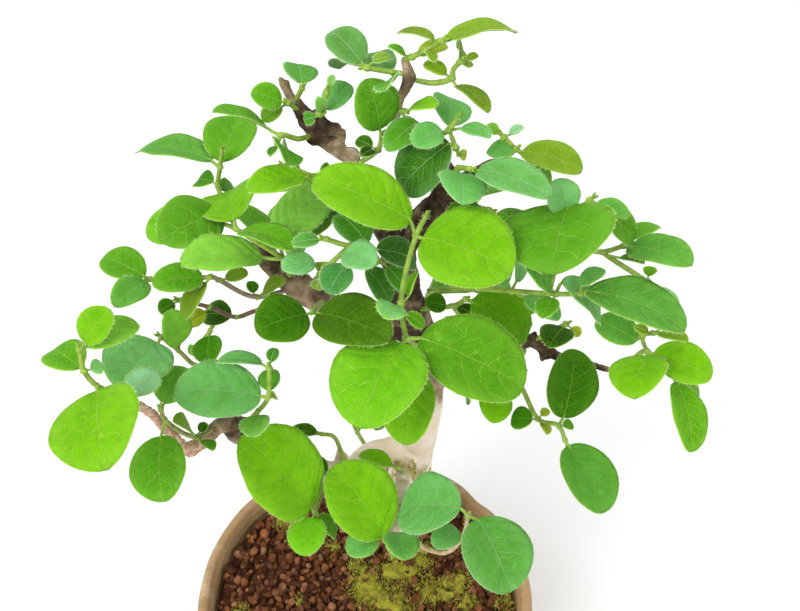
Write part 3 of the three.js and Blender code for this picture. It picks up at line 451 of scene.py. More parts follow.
    "left_edge": {
        "points": {
            "a": (113, 392, -12), "b": (97, 386, -14), "c": (84, 371, -13), "d": (80, 350, -11),
        },
        "stems": ("abcd",),
        "leaves": (
            ("b", (97, 391), (107, 469), 84, 0, "lime"), ("a", (124, 391), (161, 377), 29, 0, "grey"),
            ("c", (87, 370), (103, 366), 16, 0, "lightblue"), ("c", (80, 372), (52, 350), 40, 0, "mid"),
            ("d", (84, 347), (138, 323), 30, 4, "palelime"), ("d", (84, 342), (110, 309), 34, -4, "lime"),
        ),
    },
    "lower_left": {
        "points": {
            "a": (214, 429, -2), "b": (196, 437, -5), "c": (165, 420, -8), "d": (161, 409, -8),
        },
        "stems": ("abcd",),
        "leaves": (
            ("c", (161, 436), (163, 502), 54, 0, "mid"), ("d", (163, 405), (185, 367), 37, 4, "light"),
            ("b", (191, 431), (174, 421), 12, -12, "olivelime"),
            ("b", (200, 433), (207, 423), 10, 0, "dark"), ("b", (203, 441), (213, 450), 11, -4, "mid"),
        ),
    },
    "left_front": {
        "points": {
            "a": (242, 427, 3), "b": (258, 411, -3), "c": (268, 397, -6), "d": (269, 368, -4),
        },
        "stems": ("abcd",),
        "leaves": (
            ("c", (263, 393), (174, 391), 57, -12, "blue"), ("c", (272, 394), (273, 369), 22, 0, "mid"),
            ("d", (271, 364), (276, 348), 13, 0, "middark"), ("d", (262, 364), (217, 361), 14, -4, "blue"),
            ("b", (255, 412), (254, 437), 29, 0, "light"), ("c", (270, 400), (276, 397), 8, 4, "yellow"),
        ),
    },
    "bottom_left": {
        "points": {
            "a": (318, 470, 12), "b": (321, 492, 0), "c": (315, 512, -10),
        },
        "stems": ("abc",),
        "leaves": (
            # Its lime is painted light, lighter than the leaf's own green
            ("c", (311, 513), (242, 436), 78, -12, "brightlime"),
            ("c", (313, 517), (304, 556), 37, 0, "limemid"), ("c", (320, 514), (336, 537), 14, 8, "mid"),
            ("b", (321, 478), (318, 456), 15, 0, "dark"),
        ),
    },
    "bottom_knob": {
        "points": {
            "a": (346, 470, 18), "b": (341, 452, 16), "c": (333, 436, 15), "d": (322, 434, 14),
        },
        "stems": ("abcd",),
        "leaves": (
            ("d", (318, 435), (288, 432), 13, 0, "dark"),
        ),
    },
    "bottom_centre": {
        "points": {
            "a": (394, 530, -9), "b": (387, 541, -15), "c": (391, 553, -17),
        },
        "stems": ("abc",),
        "leaves": (
            # Its lime is painted light, lighter than the leaf's own green
            ("b", (385, 536), (333, 466), 70, -8, "brightlime"),
            ("b", (377, 538), (347, 553), 28, 0, "blue"), ("b", (396, 533), (405, 560), 34, 0, "blue"),
        ),
    },
    "bottom_back": {
        "points": {
            "a": (405, 474, 20), "b": (397, 468, 17),
        },
        "stems": ("ab",),
        "leaves": (
            ("b", (392, 465), (359, 455), 15, -4, "lime"),
        ),
    },
    "bottom_right": {
        "points": {
            "a": (399, 516, -3), "b": (420, 545, -12), "c": (443, 553, -15), "d": (461, 540, -17),
            "e": (468, 516, -19),
        },
        "stems": ("abcde",),
        "leaves": (
            ("e", (461, 508), (400, 508), 62, 0, "blue"), ("e", (477, 519), (511, 592), 68, 0, "bluemid"),
            ("d", (459, 531), (433, 546), 26, 0, "blue"),
        ),
    },
}

# Shoots on the far side. Each has its stem's points, how many pairs of leaves it may bear, how long its
# first leaves are, and the leaves that had room: the pair, the side, the size and the swing.
FAR_SHOOTS = {
    "far_crown": {
        "points": ((408, 80, 34), (402, 98, 48), (398, 118, 60)),
        "pairs": 4, "leaf": 17,
        "leaves": (
            (0, 1, 0.7, 0), (1, 1, 1, 0), (3, 0, 0.85, 0), (3, 1, 0.7, 0),
        ),
    },
    "far_upper_left": {
        "points": ((364, 188, 32), (352, 200, 52), (342, 214, 68)),
        "pairs": 5, "leaf": 20,
        "leaves": (
            (0, 1, 1, 16), (1, 0, 0.55, 0), (1, 1, 1, 0), (2, 0, 1, 0), (2, 1, 1, 0), (3, 0, 1, -8),
            (3, 1, 0.85, 0), (4, 0, 1, -12),
        ),
    },
    "far_upper_right": {
        "points": ((448, 190, 29), (470, 205, 50), (484, 228, 68)),
        "pairs": 5, "leaf": 20,
        "leaves": (
            (0, 0, 1, 0), (1, 0, 0.55, 0), (1, 1, 1, 0), (2, 0, 0.85, 0), (2, 1, 1, 0), (3, 1, 1, 0),
            (4, 0, 1, -8), (4, 1, 0.55, 16),
        ),
    },
    "far_left": {
        "points": ((300, 287, 37), (285, 262, 56), (268, 248, 72)),
        "pairs": 5, "leaf": 21,
        "leaves": (
            (0, 0, 1, 16), (1, 0, 1, 0), (2, 0, 1, 0), (2, 1, 0.7, 0), (4, 0, 1, -8), (4, 1, 1, 8),
        ),
    },
    "far_middle": {
        "points": ((426, 300, 29), (430, 290, 50), (438, 272, 74)),
        "pairs": 5, "leaf": 22,
        "leaves": (
            (0, 0, 1, -12), (2, 0, 1, 0), (3, 0, 0.55, 4), (4, 0, 1, -8),
        ),
    },
    "far_right": {
        "points": ((470, 346, 28), (490, 320, 48), (512, 300, 66)),
        "pairs": 5, "leaf": 21,
        "leaves": (
            (0, 0, 1, 0), (0, 1, 1, 0), (1, 0, 0.7, -8), (1, 1, 0.85, 0), (2, 1, 0.85, 0), (3, 1, 0.55, 0),
            (4, 1, 1, 8),
        ),
    },
    "far_low_left": {
        "points": ((372, 457, 28), (352, 420, 48), (350, 392, 64)),
        "pairs": 5, "leaf": 20,
        "leaves": (
            (0, 0, 1, 0), (1, 1, 1, 0), (2, 0, 1, 0), (3, 1, 1, 0), (4, 0, 1, -8),
        ),
    },
    "far_low_right": {
        "points": ((424, 402, 33), (448, 380, 50), (470, 366, 66)),
        "pairs": 5, "leaf": 20,
        "leaves": (
            (0, 0, 1, 0), (0, 1, 1, 0), (1, 0, 1, 0), (1, 1, 0.55, 0), (2, 0, 0.85, 0), (2, 1, 1, 0),
            (3, 0, 1, 0), (3, 1, 1, 0), (4, 0, 1, -8), (4, 1, 1, 12),
        ),
    },
}

# The greens as seen, red, green and blue from 0 to 255: each leaf's own tone with its light painted in. The
# darkest (dark, verydark, olivedark) hold painted shade for leaves deep in the crown; palelime and the
# brightest lime hold painted light, lighter than the leaves' own green, for leaves low and on the left that
# stand in the crown's shade
GREENS = {
    "lime": (112, 178, 14), "limemid": (104, 176, 22), "limedark": (102, 164, 2), "darklime": (88, 148, 2),
    "mid": (86, 152, 26), "midlime": (94, 164, 20), "bluemid": (88, 156, 58), "middark": (66, 132, 12),
    "blue": (102, 173, 84), "lightblue": (122, 190, 114), "bluedark": (70, 136, 62), "dark": (56, 112, 2),
    "verydark": (38, 80, 0), "olive": (112, 142, 30), "olivelime": (124, 160, 30), "olivemid": (92, 142, 26),
    "olivedark": (66, 110, 6), "yellow": (160, 178, 44),
    "light": (122, 184, 68), "grey": (136, 190, 144), "dullblue": (86, 140, 62), "palelime": (132, 200, 66),
    "brightlime": (126, 198, 18),
}
FAR_GREENS = ("mid", "dark", "middark", "mid", "bluemid", "dark")
# The record's slot of each shoot's leaves; the others are leaf_mid
SLOTS = {
    "front_pair": "leaf_lime", "lime_left": "leaf_lime", "lime_twig": "leaf_lime",
    "bottom_left": "leaf_lime", "bottom_centre": "leaf_lime", "left_edge": "leaf_lime",
    "right_outer": "leaf_lime", "centre_cluster": "leaf_blue", "crown_left_top": "leaf_blue",
    "crown_left_front": "leaf_blue", "crown_centre": "leaf_blue", "right_blue": "leaf_blue",
    "apex_left": "leaf_blue", "left_front": "leaf_blue", "bottom_right": "leaf_blue",
    "dark_pair": "leaf_dark", "left_mid_back": "leaf_dark", "right_under": "leaf_dark",
    "right_blue_low": "leaf_dark", "right_dark": "leaf_dark", "right_low": "leaf_dark",
    "bottom_back": "leaf_dark", "bottom_knob": "leaf_dark",
}
# The stems' tone, woody ones each their own
YOUNG_TONE = (142, 170, 64)
STEM_TONES = {
    "left_round": (158, 138, 116), "left_mid_back": (120, 94, 72), "left_mid_front": (170, 172, 96),
    "lower_left": (156, 156, 92), "bottom_right": (206, 174, 142),
}


# Where things are

def sight_line(across, down):
    """The line of sight through a point of the picture, one millimetre deep."""
    right = RIGHT * ((across - SIGHT_MIDDLE[0]) / SIGHT_SCALE)
    return AHEAD + right + ABOVE * ((SIGHT_MIDDLE[1] - down) / SIGHT_SCALE)


def at(across, down, back):
    """The point seen at across and down in the picture that stands `back` mm behind the pot's centre."""
    line = sight_line(across, down)
    return EYE + line * ((back - EYE.y) / line.y)


def at_height(across, down, height):
    line = sight_line(across, down)
    return EYE + line * ((height - EYE.z) / line.z)


def on_curve(points, share):
    """The point at share, from 0 to 1, of a smooth curve through points."""
    last = len(points) - 1
    place = share * last
    i = min(int(place), last - 1)
    w = place - i
    p1, p2 = points[i], points[i + 1]
    p0 = points[i - 1] if i else 2 * p1 - p2
    p3 = points[i + 2] if i + 2 <= last else 2 * p2 - p1
    d0, d1, d2 = (max(1e-3, (b - a).length ** 0.5) for a, b in ((p0, p1), (p1, p2), (p2, p3)))
    t1 = ((p1 - p0) / d0 - (p2 - p0) / (d0 + d1) + (p2 - p1) / d1) * d1
    t2 = ((p2 - p1) / d1 - (p3 - p1) / (d1 + d2) + (p3 - p2) / d2) * d1
    return p1 + t1 * w + (3 * (p2 - p1) - 2 * t1 - t2) * w ** 2 + (2 * (p1 - p2) + t1 + t2) * w ** 3


def heading(points, share):
    ahead, behind = min(1, share + 1e-3), max(0, share - 1e-3)
    return (on_curve(points, ahead) - on_curve(points, behind)).normalized()


def length_of(points):
    """The way along the points."""
    return sum((b - a).length for a, b in zip(points, points[1:]))


def between(values, share):
    """The value at share, from 0 to 1, along a row of values."""
    place = share * (len(values) - 1)
    i = min(int(place), len(values) - 2)
    return values[i] + (values[i + 1] - values[i]) * (place - i)


# Meshes

def grid(bm, columns, rows, place):
    """A grid whose corner at (u, v), each from 0 to 1, stands at place(u, v)."""
    corners = bmesh.ops.create_grid(bm, x_segments=columns, y_segments=rows, size=0.5)["verts"]
    for corner in corners:
        corner.co = place(corner.co.x + 0.5, corner.co.y + 0.5)
    return corners


def faces_of(corners):
    return list({face for corner in corners for face in corner.link_faces})


def tube(bm, points, radii, sides, step, roundness=0.4, ends=1.5):
    """A tapering tube along a smooth curve through points, closed and drawn in at its ends."""
    length = length_of(points)
    rings = max(3, round(length / step))
    frames = []
    aside = Vector((1, 0.3, 0.2))
    for number in range(rings + 1):
        share = number / rings
        along = heading(points, share)
        aside = (aside - along * aside.dot(along)).normalized()
        radius = between(radii, share)
        for nearest in (number, rings - number):
            radius *= 1 - roundness * math.exp(-nearest * length / rings / ends)
        frames.append((on_curve(points, share), aside, along.cross(aside), radius))

    def place(u, v):
        middle, first, other, radius = frames[round(v * rings)]
        angle = 2 * math.pi * u
        return middle + (first * math.cos(angle) + other * math.sin(angle)) * radius

    corners = grid(bm, sides, rings, place)
    bmesh.ops.remove_doubles(bm, verts=corners, dist=1e-4)
    corners = [corner for corner in corners if corner.is_valid]
    open_edges = {edge for corner in corners for edge in corner.link_edges if edge.is_boundary}
    bmesh.ops.holes_fill(bm, edges=list(open_edges), sides=0)
    faces = faces_of(corners)
    bmesh.ops.recalc_face_normals(bm, faces=faces)
    for face in faces:
        face.smooth = True
    return corners


def lump(bm, middle, radii, turn=None, divisions=2):
    """A rounded lump with its three radii, turned as given."""
    shape = Matrix.Diagonal((*radii, 1))
    if turn is not None:
        shape = turn.to_matrix().to_4x4() @ shape
    matrix = Matrix.Translation(middle) @ shape
    corners = bmesh.ops.create_icosphere(bm, subdivisions=divisions, radius=1, matrix=matrix)["verts"]
    for face in faces_of(corners):
        face.smooth = True
    return corners


def copies(bm, count):
    """A new mesh that holds what bm holds count times, and each copy's corners."""
    mesh = bpy.data.meshes.new("one_copy")
    bm.to_mesh(mesh)
    bm.free()
    many = bmesh.new()
    many.from_mesh(mesh)
    many.verts.layers.float_color.new("tint")
    bpy.data.meshes.remove(mesh)
    size = len(many.verts)
    while len(many.verts) < size * count:
        bmesh.ops.duplicate(many, geom=many.verts[:] + many.edges[:] + many.faces[:])
    corners = list(many.verts)
    bmesh.ops.delete(many, geom=corners[size * count:], context="VERTS")
    return many, [corners[size * i:size * (i + 1)] for i in range(count)]


def spikes(places):
    """A mesh of small pointed spikes, each given as (foot, direction, length, width, tint)."""
    bm = bmesh.new()
    bmesh.ops.create_cone(bm, cap_ends=True, segments=3, radius1=1, radius2=0, depth=1,
                          matrix=Matrix.Translation((0, 0, 0.5)))
    bmesh.ops.remove_doubles(bm, verts=bm.verts, dist=1e-4)
    shape = [corner.co.copy() for corner in bm.verts]
    bm, each = copies(bm, len(places))
    tint_layer = bm.verts.layers.float_color["tint"]
    for (foot, direction, length, width, tint), corners in zip(places, each):
        turn = direction.to_track_quat("Z", "Y")
        for corner, local in zip(corners, shape):
            corner.co = foot + turn @ Vector((local.x * width, local.y * width, local.z * length))
            corner[tint_layer] = tint
    return bm, tint_layer


def put_in_scene(name, bm):
    """An object that takes its mesh over from bm."""
    mesh = bpy.data.meshes.new(name)
    bm.to_mesh(mesh)
    bm.free()
    made = bpy.data.objects.new(name, mesh)
    bpy.context.scene.collection.objects.link(made)
    return made


def take_away(made):
    """Removes an object that was only a help, and its mesh."""
    mesh = made.data
    bpy.data.objects.remove(made)
    bpy.data.meshes.remove(mesh)


def finished(name, bm, materials, slot, *nodes):
    """A piece from a mesh in millimetres, which stands for the given nodes of the model."""
    bmesh.ops.transform(bm, matrix=Matrix.Scale(0.001, 4), verts=bm.verts)
    piece = put_in_scene(name, bm)
    for material in materials:
        piece.data.materials.append(material)
    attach(piece, "root")
    if nodes:
        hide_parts(*nodes)
    return piece


def with_modifier(bm, kind, **settings):
    """The mesh after one modifier, as a new bmesh."""
    holder = put_in_scene("working_shape", bm)
    modifier = holder.modifiers.new("change", kind)
    for key, value in settings.items():
        setattr(modifier, key, value)
    graph = bpy.context.evaluated_depsgraph_get()
    changed = bmesh.new()
    changed.from_object(holder, graph)
    take_away(holder)
    return changed


def linear(red, green, blue):
    """A colour as seen, 0 to 255, as the light it gives back."""
    return tuple((part / 255) ** 2.2 for part in (red, green, blue)) + (1,)


def shaded(tone, shade):
    """A colour as seen, made lighter or darker by shade."""
    return tuple(part * shade for part in linear(*tone)[:3]) + (1,)


# Materials

def feed(tree, socket, value):
    """Links another node's output to the socket, or sets the socket's own value."""
    if isinstance(value, bpy.types.NodeSocket):
        tree.links.new(value, socket)
    else:
        socket.default_value = value


def add(tree, kind, *values, out=0, **settings):
    """A node with its settings; its inputs, in order, are values or other nodes' outputs."""
    made = tree.nodes.new(kind)
    for key, value in settings.items():
        setattr(made, key, value)
    for socket, value in zip(made.inputs, values):
        feed(tree, socket, value)
    return made.outputs[out]


def maths(tree, operation, *values, clamp=False):
    return add(tree, "ShaderNodeMath", *values, operation=operation, use_clamp=clamp)


def ramp(tree, value, low, high, start=0.0, end=1.0):
    """Runs smoothly from start to end while value runs from low to high."""
    return add(tree, "ShaderNodeMapRange", value, low, high, start, end, interpolation_type="SMOOTHSTEP")


def mixed(tree, factor, first, second, blend="MIX"):
    made = tree.nodes.new("ShaderNodeMix")
    made.data_type = "RGBA"
    made.blend_type = blend
    for name, value in (("Factor_Float", factor), ("A_Color", first), ("B_Color", second)):
        feed(tree, next(s for s in made.inputs if s.identifier == name), value)
    return next(s for s in made.outputs if s.identifier == "Result_Color")


def attribute(tree, name, out):
    return add(tree, "ShaderNodeAttribute", attribute_name=name, out=out)


def parts(tree, vector):
    made = tree.nodes.new("ShaderNodeSeparateXYZ")
    feed(tree, made.inputs[0], vector)
    return made.outputs


def noisy(tree, vector, scale, detail=3, roughness=0.5):
    made = tree.nodes.new("ShaderNodeTexNoise")
    for name, value in (("Vector", vector), ("Scale", scale), ("Detail", detail), ("Roughness", roughness)):
        feed(tree, made.inputs[name], value)
    return made.outputs[0]


def cells(tree, vector, scale, feature="DISTANCE_TO_EDGE"):
    made = tree.nodes.new("ShaderNodeTexVoronoi")
    made.feature = feature
    feed(tree, made.inputs["Vector"], vector)
    feed(tree, made.inputs["Scale"], scale)
    return made.outputs["Distance"]


def new_group(name, inputs, outputs):
    """A node group with named inputs and outputs, the sockets that its inputs give, and its end node."""
    tree = bpy.data.node_groups.new(name, "ShaderNodeTree")
    for side, sockets in (("INPUT", inputs), ("OUTPUT", outputs)):
        for title, kind in sockets.items():
            tree.interface.new_socket(title, in_out=side, socket_type="NodeSocket" + kind)
    return tree, tree.nodes.new("NodeGroupInput").outputs, tree.nodes.new("NodeGroupOutput")


def use_group(tree, group, **values):
    made = tree.nodes.new("ShaderNodeGroup")
    made.node_tree = group
    for name, value in values.items():
        feed(tree, made.inputs[name], value)
    return made.outputs


def surface(name, roughness, **plain):
    """A material, its tree and its shader; plain values are set on the shader's own sockets."""
    material = bpy.data.materials.new(name)
    material.use_nodes = True
    tree = material.node_tree
    shader = tree.nodes["Principled BSDF"]
    shader.inputs["Roughness"].default_value = roughness
    for key, value in plain.items():
        shader.inputs[key.replace("_", " ")].default_value = value
    return material, tree, shader


def raised(tree, shader, height, distance, strength=1):
    """Bumps the surface by a height pattern, distance in metres."""
    bump = tree.nodes.new("ShaderNodeBump")
    bump.inputs["Strength"].default_value = strength
    bump.inputs["Distance"].default_value = distance
    feed(tree, bump.inputs["Height"], height)
    feed(tree, shader.inputs["Normal"], bump.outputs[0])


def object_spot(tree):
    return add(tree, "ShaderNodeTexCoord", out="Object")


def vein_group():
    """Midrib, side veins, fine net, pale margin, mottle and relief of a blade."""
    titles = ("Midrib", "Side", "Net", "Margin", "Outer", "Down", "Mottle", "Height")
    given = {"Pairs": "Float", "Meshes": "Float"}
    tree, own, end = new_group("blade_veins", given, dict.fromkeys(titles, "Float"))
    across, along, seed = parts(tree, attribute(tree, "blade", "Vector"))
    wide, long, length = parts(tree, attribute(tree, "spread", "Vector"))
    off = maths(tree, "ABSOLUTE", across)
    off_mm = maths(tree, "ABSOLUTE", wide)
    apart = maths(tree, "MULTIPLY", seed, 60.0)
    spot = add(tree, "ShaderNodeCombineXYZ", wide, long, apart)
    # The midrib thins out towards the tip
    rib = ramp(tree, off_mm, 0.06, 0.2, 1.0, 0.0)
    midrib = maths(tree, "MULTIPLY", rib, ramp(tree, along, 0.55, 0.98, 1.0, 0.15))
    # Side veins leave the midrib by turns, left and right, and bend towards the tip
    bent = maths(tree, "MULTIPLY", maths(tree, "POWER", off, 1.3), 0.3)
    turns = maths(tree, "MULTIPLY", maths(tree, "SUBTRACT", along, bent), own["Pairs"])
    hand = maths(tree, "MULTIPLY", maths(tree, "GREATER_THAN", across, 0.0), 0.42)
    waver = maths(tree, "MULTIPLY", noisy(tree, spot, 0.16, 2), 0.9)
    phase = maths(tree, "ADD", maths(tree, "ADD", turns, hand), maths(tree, "ADD", waver, seed))
    near = maths(tree, "ABSOLUTE", maths(tree, "SUBTRACT", maths(tree, "FRACT", phase), 0.5))
    near_mm = maths(tree, "MULTIPLY", near, maths(tree, "DIVIDE", length, own["Pairs"]))
    fading = ramp(tree, off, 0.35, 0.92, 1.0, 0.15)
    side = maths(tree, "MULTIPLY", ramp(tree, near_mm, 0.04, 0.19, 1.0, 0.0), fading)
    # The net between them, coarse and fine
    coarse = ramp(tree, cells(tree, spot, own["Meshes"]), 0.01, 0.04, 1.0, 0.0)
    finer = maths(tree, "MULTIPLY", own["Meshes"], 0.95 / NET_MESHES)
    fine = ramp(tree, cells(tree, spot, finer), 0.02, 0.08, 1.0, 0.0)
    net = maths(tree, "MAXIMUM", coarse, maths(tree, "MULTIPLY", fine, 0.55))
    # Small leaves show their veins less
    grown = ramp(tree, length, 8.0, 22.0, 0.3, 1.0)
    side = maths(tree, "MULTIPLY", side, grown)
    net = maths(tree, "MULTIPLY", net, grown)
    # The margin, a hair's breadth wide
    half = maths(tree, "DIVIDE", off_mm, maths(tree, "MAXIMUM", off, 0.02))
    inset = maths(tree, "MULTIPLY", half, maths(tree, "SUBTRACT", 1.0, off))
    margin = ramp(tree, inset, 0.05, 0.26, 1.0, 0.0)
    # The outer part and the tip, painted paler as light shining through the blade
    outer = ramp(tree, maths(tree, "MAXIMUM", off, ramp(tree, along, 0.6, 1.0, 0.0, 0.9)), 0.45, 1.0)
    down = ramp(tree, cells(tree, spot, 1.5, "F1"), 0.08, 0.26, 1.0, 0.0)
    mottle = noisy(tree, spot, 0.22, 5, 0.66)
    veins = maths(tree, "MAXIMUM", midrib, maths(tree, "MULTIPLY", side, 0.7))
    sunk = maths(tree, "MAXIMUM", veins, maths(tree, "MULTIPLY", net, 0.45))
    # The blade swells a little between its side veins
    swell = maths(tree, "MULTIPLY", ramp(tree, near_mm, 0.0, 1.7), maths(tree, "MULTIPLY", grown, 0.6))
    relief = maths(tree, "ADD", maths(tree, "MULTIPLY", noisy(tree, spot, 1.6, 2), 0.5), swell)
    height = maths(tree, "SUBTRACT", relief, sunk)
    for title, value in zip(titles, (midrib, side, net, margin, outer, down, mottle, height)):
        feed(tree, end.inputs[title], value)
    return tree


def patch_group():
    """A tone with darker patches in it, and a fine grain for its relief."""
    numbers = ("Patches", "Detail", "Low", "High", "Grains", "Fineness", "Coarseness")
    given = {"Spot": "Vector", "Tint": "Color", "Shade": "Color", **dict.fromkeys(numbers, "Float")}
    tree, own, end = new_group("patchy_tone", given, {"Tone": "Color", "Grain": "Float"})
    blotches = noisy(tree, own["Spot"], own["Patches"], own["Detail"])
    darker = mixed(tree, 1.0, own["Tint"], own["Shade"], "MULTIPLY")
    tone = mixed(tree, ramp(tree, blotches, own["Low"], own["High"]), own["Tint"], darker)
    grain = noisy(tree, own["Spot"], own["Grains"], own["Fineness"], own["Coarseness"])
    feed(tree, end.inputs["Tone"], tone)
    feed(tree, end.inputs["Grain"], grain)
    return tree


def patchy(tree, shader, shade, depth, **values):
    """Gives a surface its pieces' own tints, with patches in them and a grain that is depth metres deep."""
    tint = attribute(tree, "tint", "Color")
    look = use_group(tree, PATCHY, Spot=object_spot(tree), Tint=tint, Shade=(*shade, 1), **values)
    feed(tree, shader.inputs["Base Color"], look["Tone"])
    raised(tree, shader, look["Grain"], depth)


def leaf_material(name, roughness, pale, net_share, sheen):
    """A leaf's finish: its green from the mesh with painted light and shade in it, paler veins and margin,
    painted light through its outer part, a greyer underside.
    """
    material, tree, shader = surface(name, roughness, Sheen_Weight=sheen, Sheen_Roughness=0.5,
                                     Specular_IOR_Level=0.05, Subsurface_Weight=0.1,
                                     Subsurface_Radius=(0.4, 1.0, 0.05), Subsurface_Scale=0.001)
    look = use_group(tree, VEINS, Pairs=VEIN_PAIRS, Meshes=NET_MESHES)
    tint = attribute(tree, "tint", "Color")
    darker = mixed(tree, 1.0, tint, (0.74, 0.82, 0.6, 1), "MULTIPLY")
    shade = mixed(tree, ramp(tree, look["Mottle"], 0.35, 0.7), tint, darker)
    # Towards its margin the blade is thinner and a little paler, the paleness painted light shining through
    # it, and its down shows as fine pale dots
    own_pale = mixed(tree, 0.5, tint, pale)
    thinner = mixed(tree, maths(tree, "MULTIPLY", look["Outer"], 0.25), shade, own_pale)
    dotted = mixed(tree, maths(tree, "MULTIPLY", look["Down"], 0.25), thinner, pale)
    netted = mixed(tree, maths(tree, "MULTIPLY", look["Net"], net_share), dotted, own_pale)
    sided = mixed(tree, maths(tree, "MULTIPLY", look["Side"], net_share + 0.38), netted, own_pale)
    ribbed = mixed(tree, maths(tree, "MULTIPLY", look["Midrib"], 0.7), sided, mixed(tree, 0.7, tint, pale))
    edged = mixed(tree, maths(tree, "MULTIPLY", look["Margin"], 0.75), ribbed, pale)
    under = attribute(tree, "under", "Fac")
    greyed = mixed(tree, maths(tree, "MULTIPLY", under, 0.4), edged, (0.22, 0.38, 0.12, 1))
    feed(tree, shader.inputs["Base Color"], greyed)
    duller = ramp(tree, look["Mottle"], 0.3, 0.8, roughness - 0.05, roughness + 0.12)
    feed(tree, shader.inputs["Roughness"], duller)
    raised(tree, shader, look["Height"], 0.0003, 0.9)
    return material


def young_stem_material():
    material, tree, shader = surface("young_stem", 0.6, Subsurface_Weight=0.1, Subsurface_Scale=0.001,
                                     Subsurface_Radius=(0.5, 1.0, 0.2))
    patchy(tree, shader, (0.62, 0.7, 0.5), 0.0001, Patches=420, Detail=3, Low=0.4, High=0.65,
           Grains=1500, Fineness=2, Coarseness=0.5)
    return material


def down_material():
    """The fine pale hairs on leaves and stems."""
    material, tree, shader = surface("down", 0.55)
    tone = mixed(tree, noisy(tree, object_spot(tree), 700, 2), (0.5, 0.66, 0.24, 1), (0.78, 0.86, 0.52, 1))
    feed(tree, shader.inputs["Base Color"], tone)
    return material


def two_tones(tree, spot, scale, detail, low, high, first, second):
    """Runs from one tone as seen to another with a noise of the given scale, from low to high."""
    share = ramp(tree, noisy(tree, spot, scale, detail), low, high)
    return mixed(tree, share, linear(*first), linear(*second))


def bark_material():
    """Pale smooth bark low on the trunk, painted a little lighter than the bark as painted light; darker and
    rougher on the limbs, darker still with painted shade on the upper trunk and the limbs inside the crown;
    reddish scales on the old twig.
    """
    material, tree, shader = surface("bark", 0.8, Specular_IOR_Level=0.25)
    spot = object_spot(tree)
    # The first part is the bark's age with painted shade in it: higher where the wood stands in the crown's
    # shade, as on the upper trunk
    age_and_shade, rust, moss = parts(tree, attribute(tree, "bark", "Vector"))
    patches = maths(tree, "SUBTRACT", noisy(tree, spot, 160, 5), 0.5)
    uneven_wear = maths(tree, "MULTIPLY", patches, maths(tree, "ADD", age_and_shade, 0.3))
    worn_and_shaded = maths(tree, "ADD", age_and_shade, maths(tree, "MULTIPLY", uneven_wear, 1.2), clamp=True)
    # The pale smooth tones are lighter than the bark's own: painted light on the low trunk
    smooth = two_tones(tree, spot, 90, 3, 0.35, 0.65, (246, 233, 216), (232, 214, 190))
    middle = two_tones(tree, spot, 300, 4, 0.4, 0.6, (172, 148, 122), (140, 118, 92))
    dark = two_tones(tree, spot, 380, 4, 0.35, 0.65, (86, 66, 52), (52, 38, 30))
    older_and_shadier = mixed(tree, ramp(tree, worn_and_shaded, 0.12, 0.5), smooth, middle)
    # The darkest bark is old bark and painted shade
    oldest_and_shaded = mixed(tree, ramp(tree, worn_and_shaded, 0.55, 0.95), older_and_shadier, dark)
    rusty = two_tones(tree, spot, 900, 3, 0.42, 0.6, (190, 144, 120), (222, 190, 168))
    reddish = mixed(tree, rust, oldest_and_shaded, rusty)
    green = mixed(tree, noisy(tree, spot, 500, 3), linear(118, 108, 14), linear(168, 160, 40))
    mossy = maths(tree, "MULTIPLY", moss, ramp(tree, noisy(tree, spot, 210, 4), 0.4, 0.58))
    feed(tree, shader.inputs["Base Color"], mixed(tree, mossy, reddish, green))
    cracks = ramp(tree, cells(tree, spot, 330), 0.0, 0.22)
    relief = maths(tree, "ADD", maths(tree, "MULTIPLY", cracks, age_and_shade), noisy(tree, spot, 600, 4))
    raised(tree, shader, relief, 0.0004, 0.8)
    return material


def clay_material():
    """Unglazed clay, turned by hand: tan and grey-beige, with throwing lines, specks and a chalky bloom."""
    material, tree, shader = surface("clay", 0.75, Specular_IOR_Level=0.3)
    spot = object_spot(tree)
    z = parts(tree, spot)[2]
    broad = noisy(tree, spot, 28, 4)
    body = mixed(tree, ramp(tree, broad, 0.35, 0.65), linear(172, 140, 100), linear(148, 120, 86))
    chalky = mixed(tree, ramp(tree, noisy(tree, spot, 75, 6, 0.65), 0.52, 0.72), body, linear(188, 162, 128))
    specks = ramp(tree, cells(tree, spot, 420, "F1"), 0.1, 0.22, 1.0, 0.0)
    chosen = maths(tree, "MULTIPLY", specks, ramp(tree, noisy(tree, spot, 130, 2), 0.5, 0.62))
    specked = mixed(tree, maths(tree, "MULTIPLY", chosen, 0.75), chalky, linear(104, 76, 52))
    damp = ramp(tree, z, 0.0, 0.02, 0.35, 0.0)
    feed(tree, shader.inputs["Base Color"], mixed(tree, damp, specked, linear(130, 108, 84)))
    wander = maths(tree, "MULTIPLY", noisy(tree, spot, 22, 2), 9.0)
    lines = maths(tree, "SINE", maths(tree, "ADD", maths(tree, "MULTIPLY", z, 1900.0), wander))
    relief = maths(tree, "ADD", maths(tree, "MULTIPLY", lines, 0.16), noisy(tree, spot, 260, 6, 0.6))
    raised(tree, shader, relief, 0.0006, 0.7)
    feed(tree, shader.inputs["Roughness"], ramp(tree, broad, 0.3, 0.7, 0.62, 0.82))
    return material


def crumb_material():
    """Clay granules: each its own red-brown, with darker damp patches and a crumbly surface."""
    material, tree, shader = surface("clay_granules", 0.95, Specular_IOR_Level=0.15)
    patchy(tree, shader, (0.55, 0.5, 0.46), 0.0004, Patches=240, Detail=4, Low=0.42, High=0.68,
           Grains=1500, Fineness=5, Coarseness=0.65)
    return material


def moss_material():
    material, tree, shader = surface("moss", 0.7, Sheen_Weight=0.2)
    patchy(tree, shader, (0.45, 0.5, 0.35), 0.0002, Patches=500, Detail=3, Low=0.4, High=0.7,
           Grains=2200, Fineness=3, Coarseness=0.5)
    return material


VEINS = vein_group()
PATCHY = patch_group()
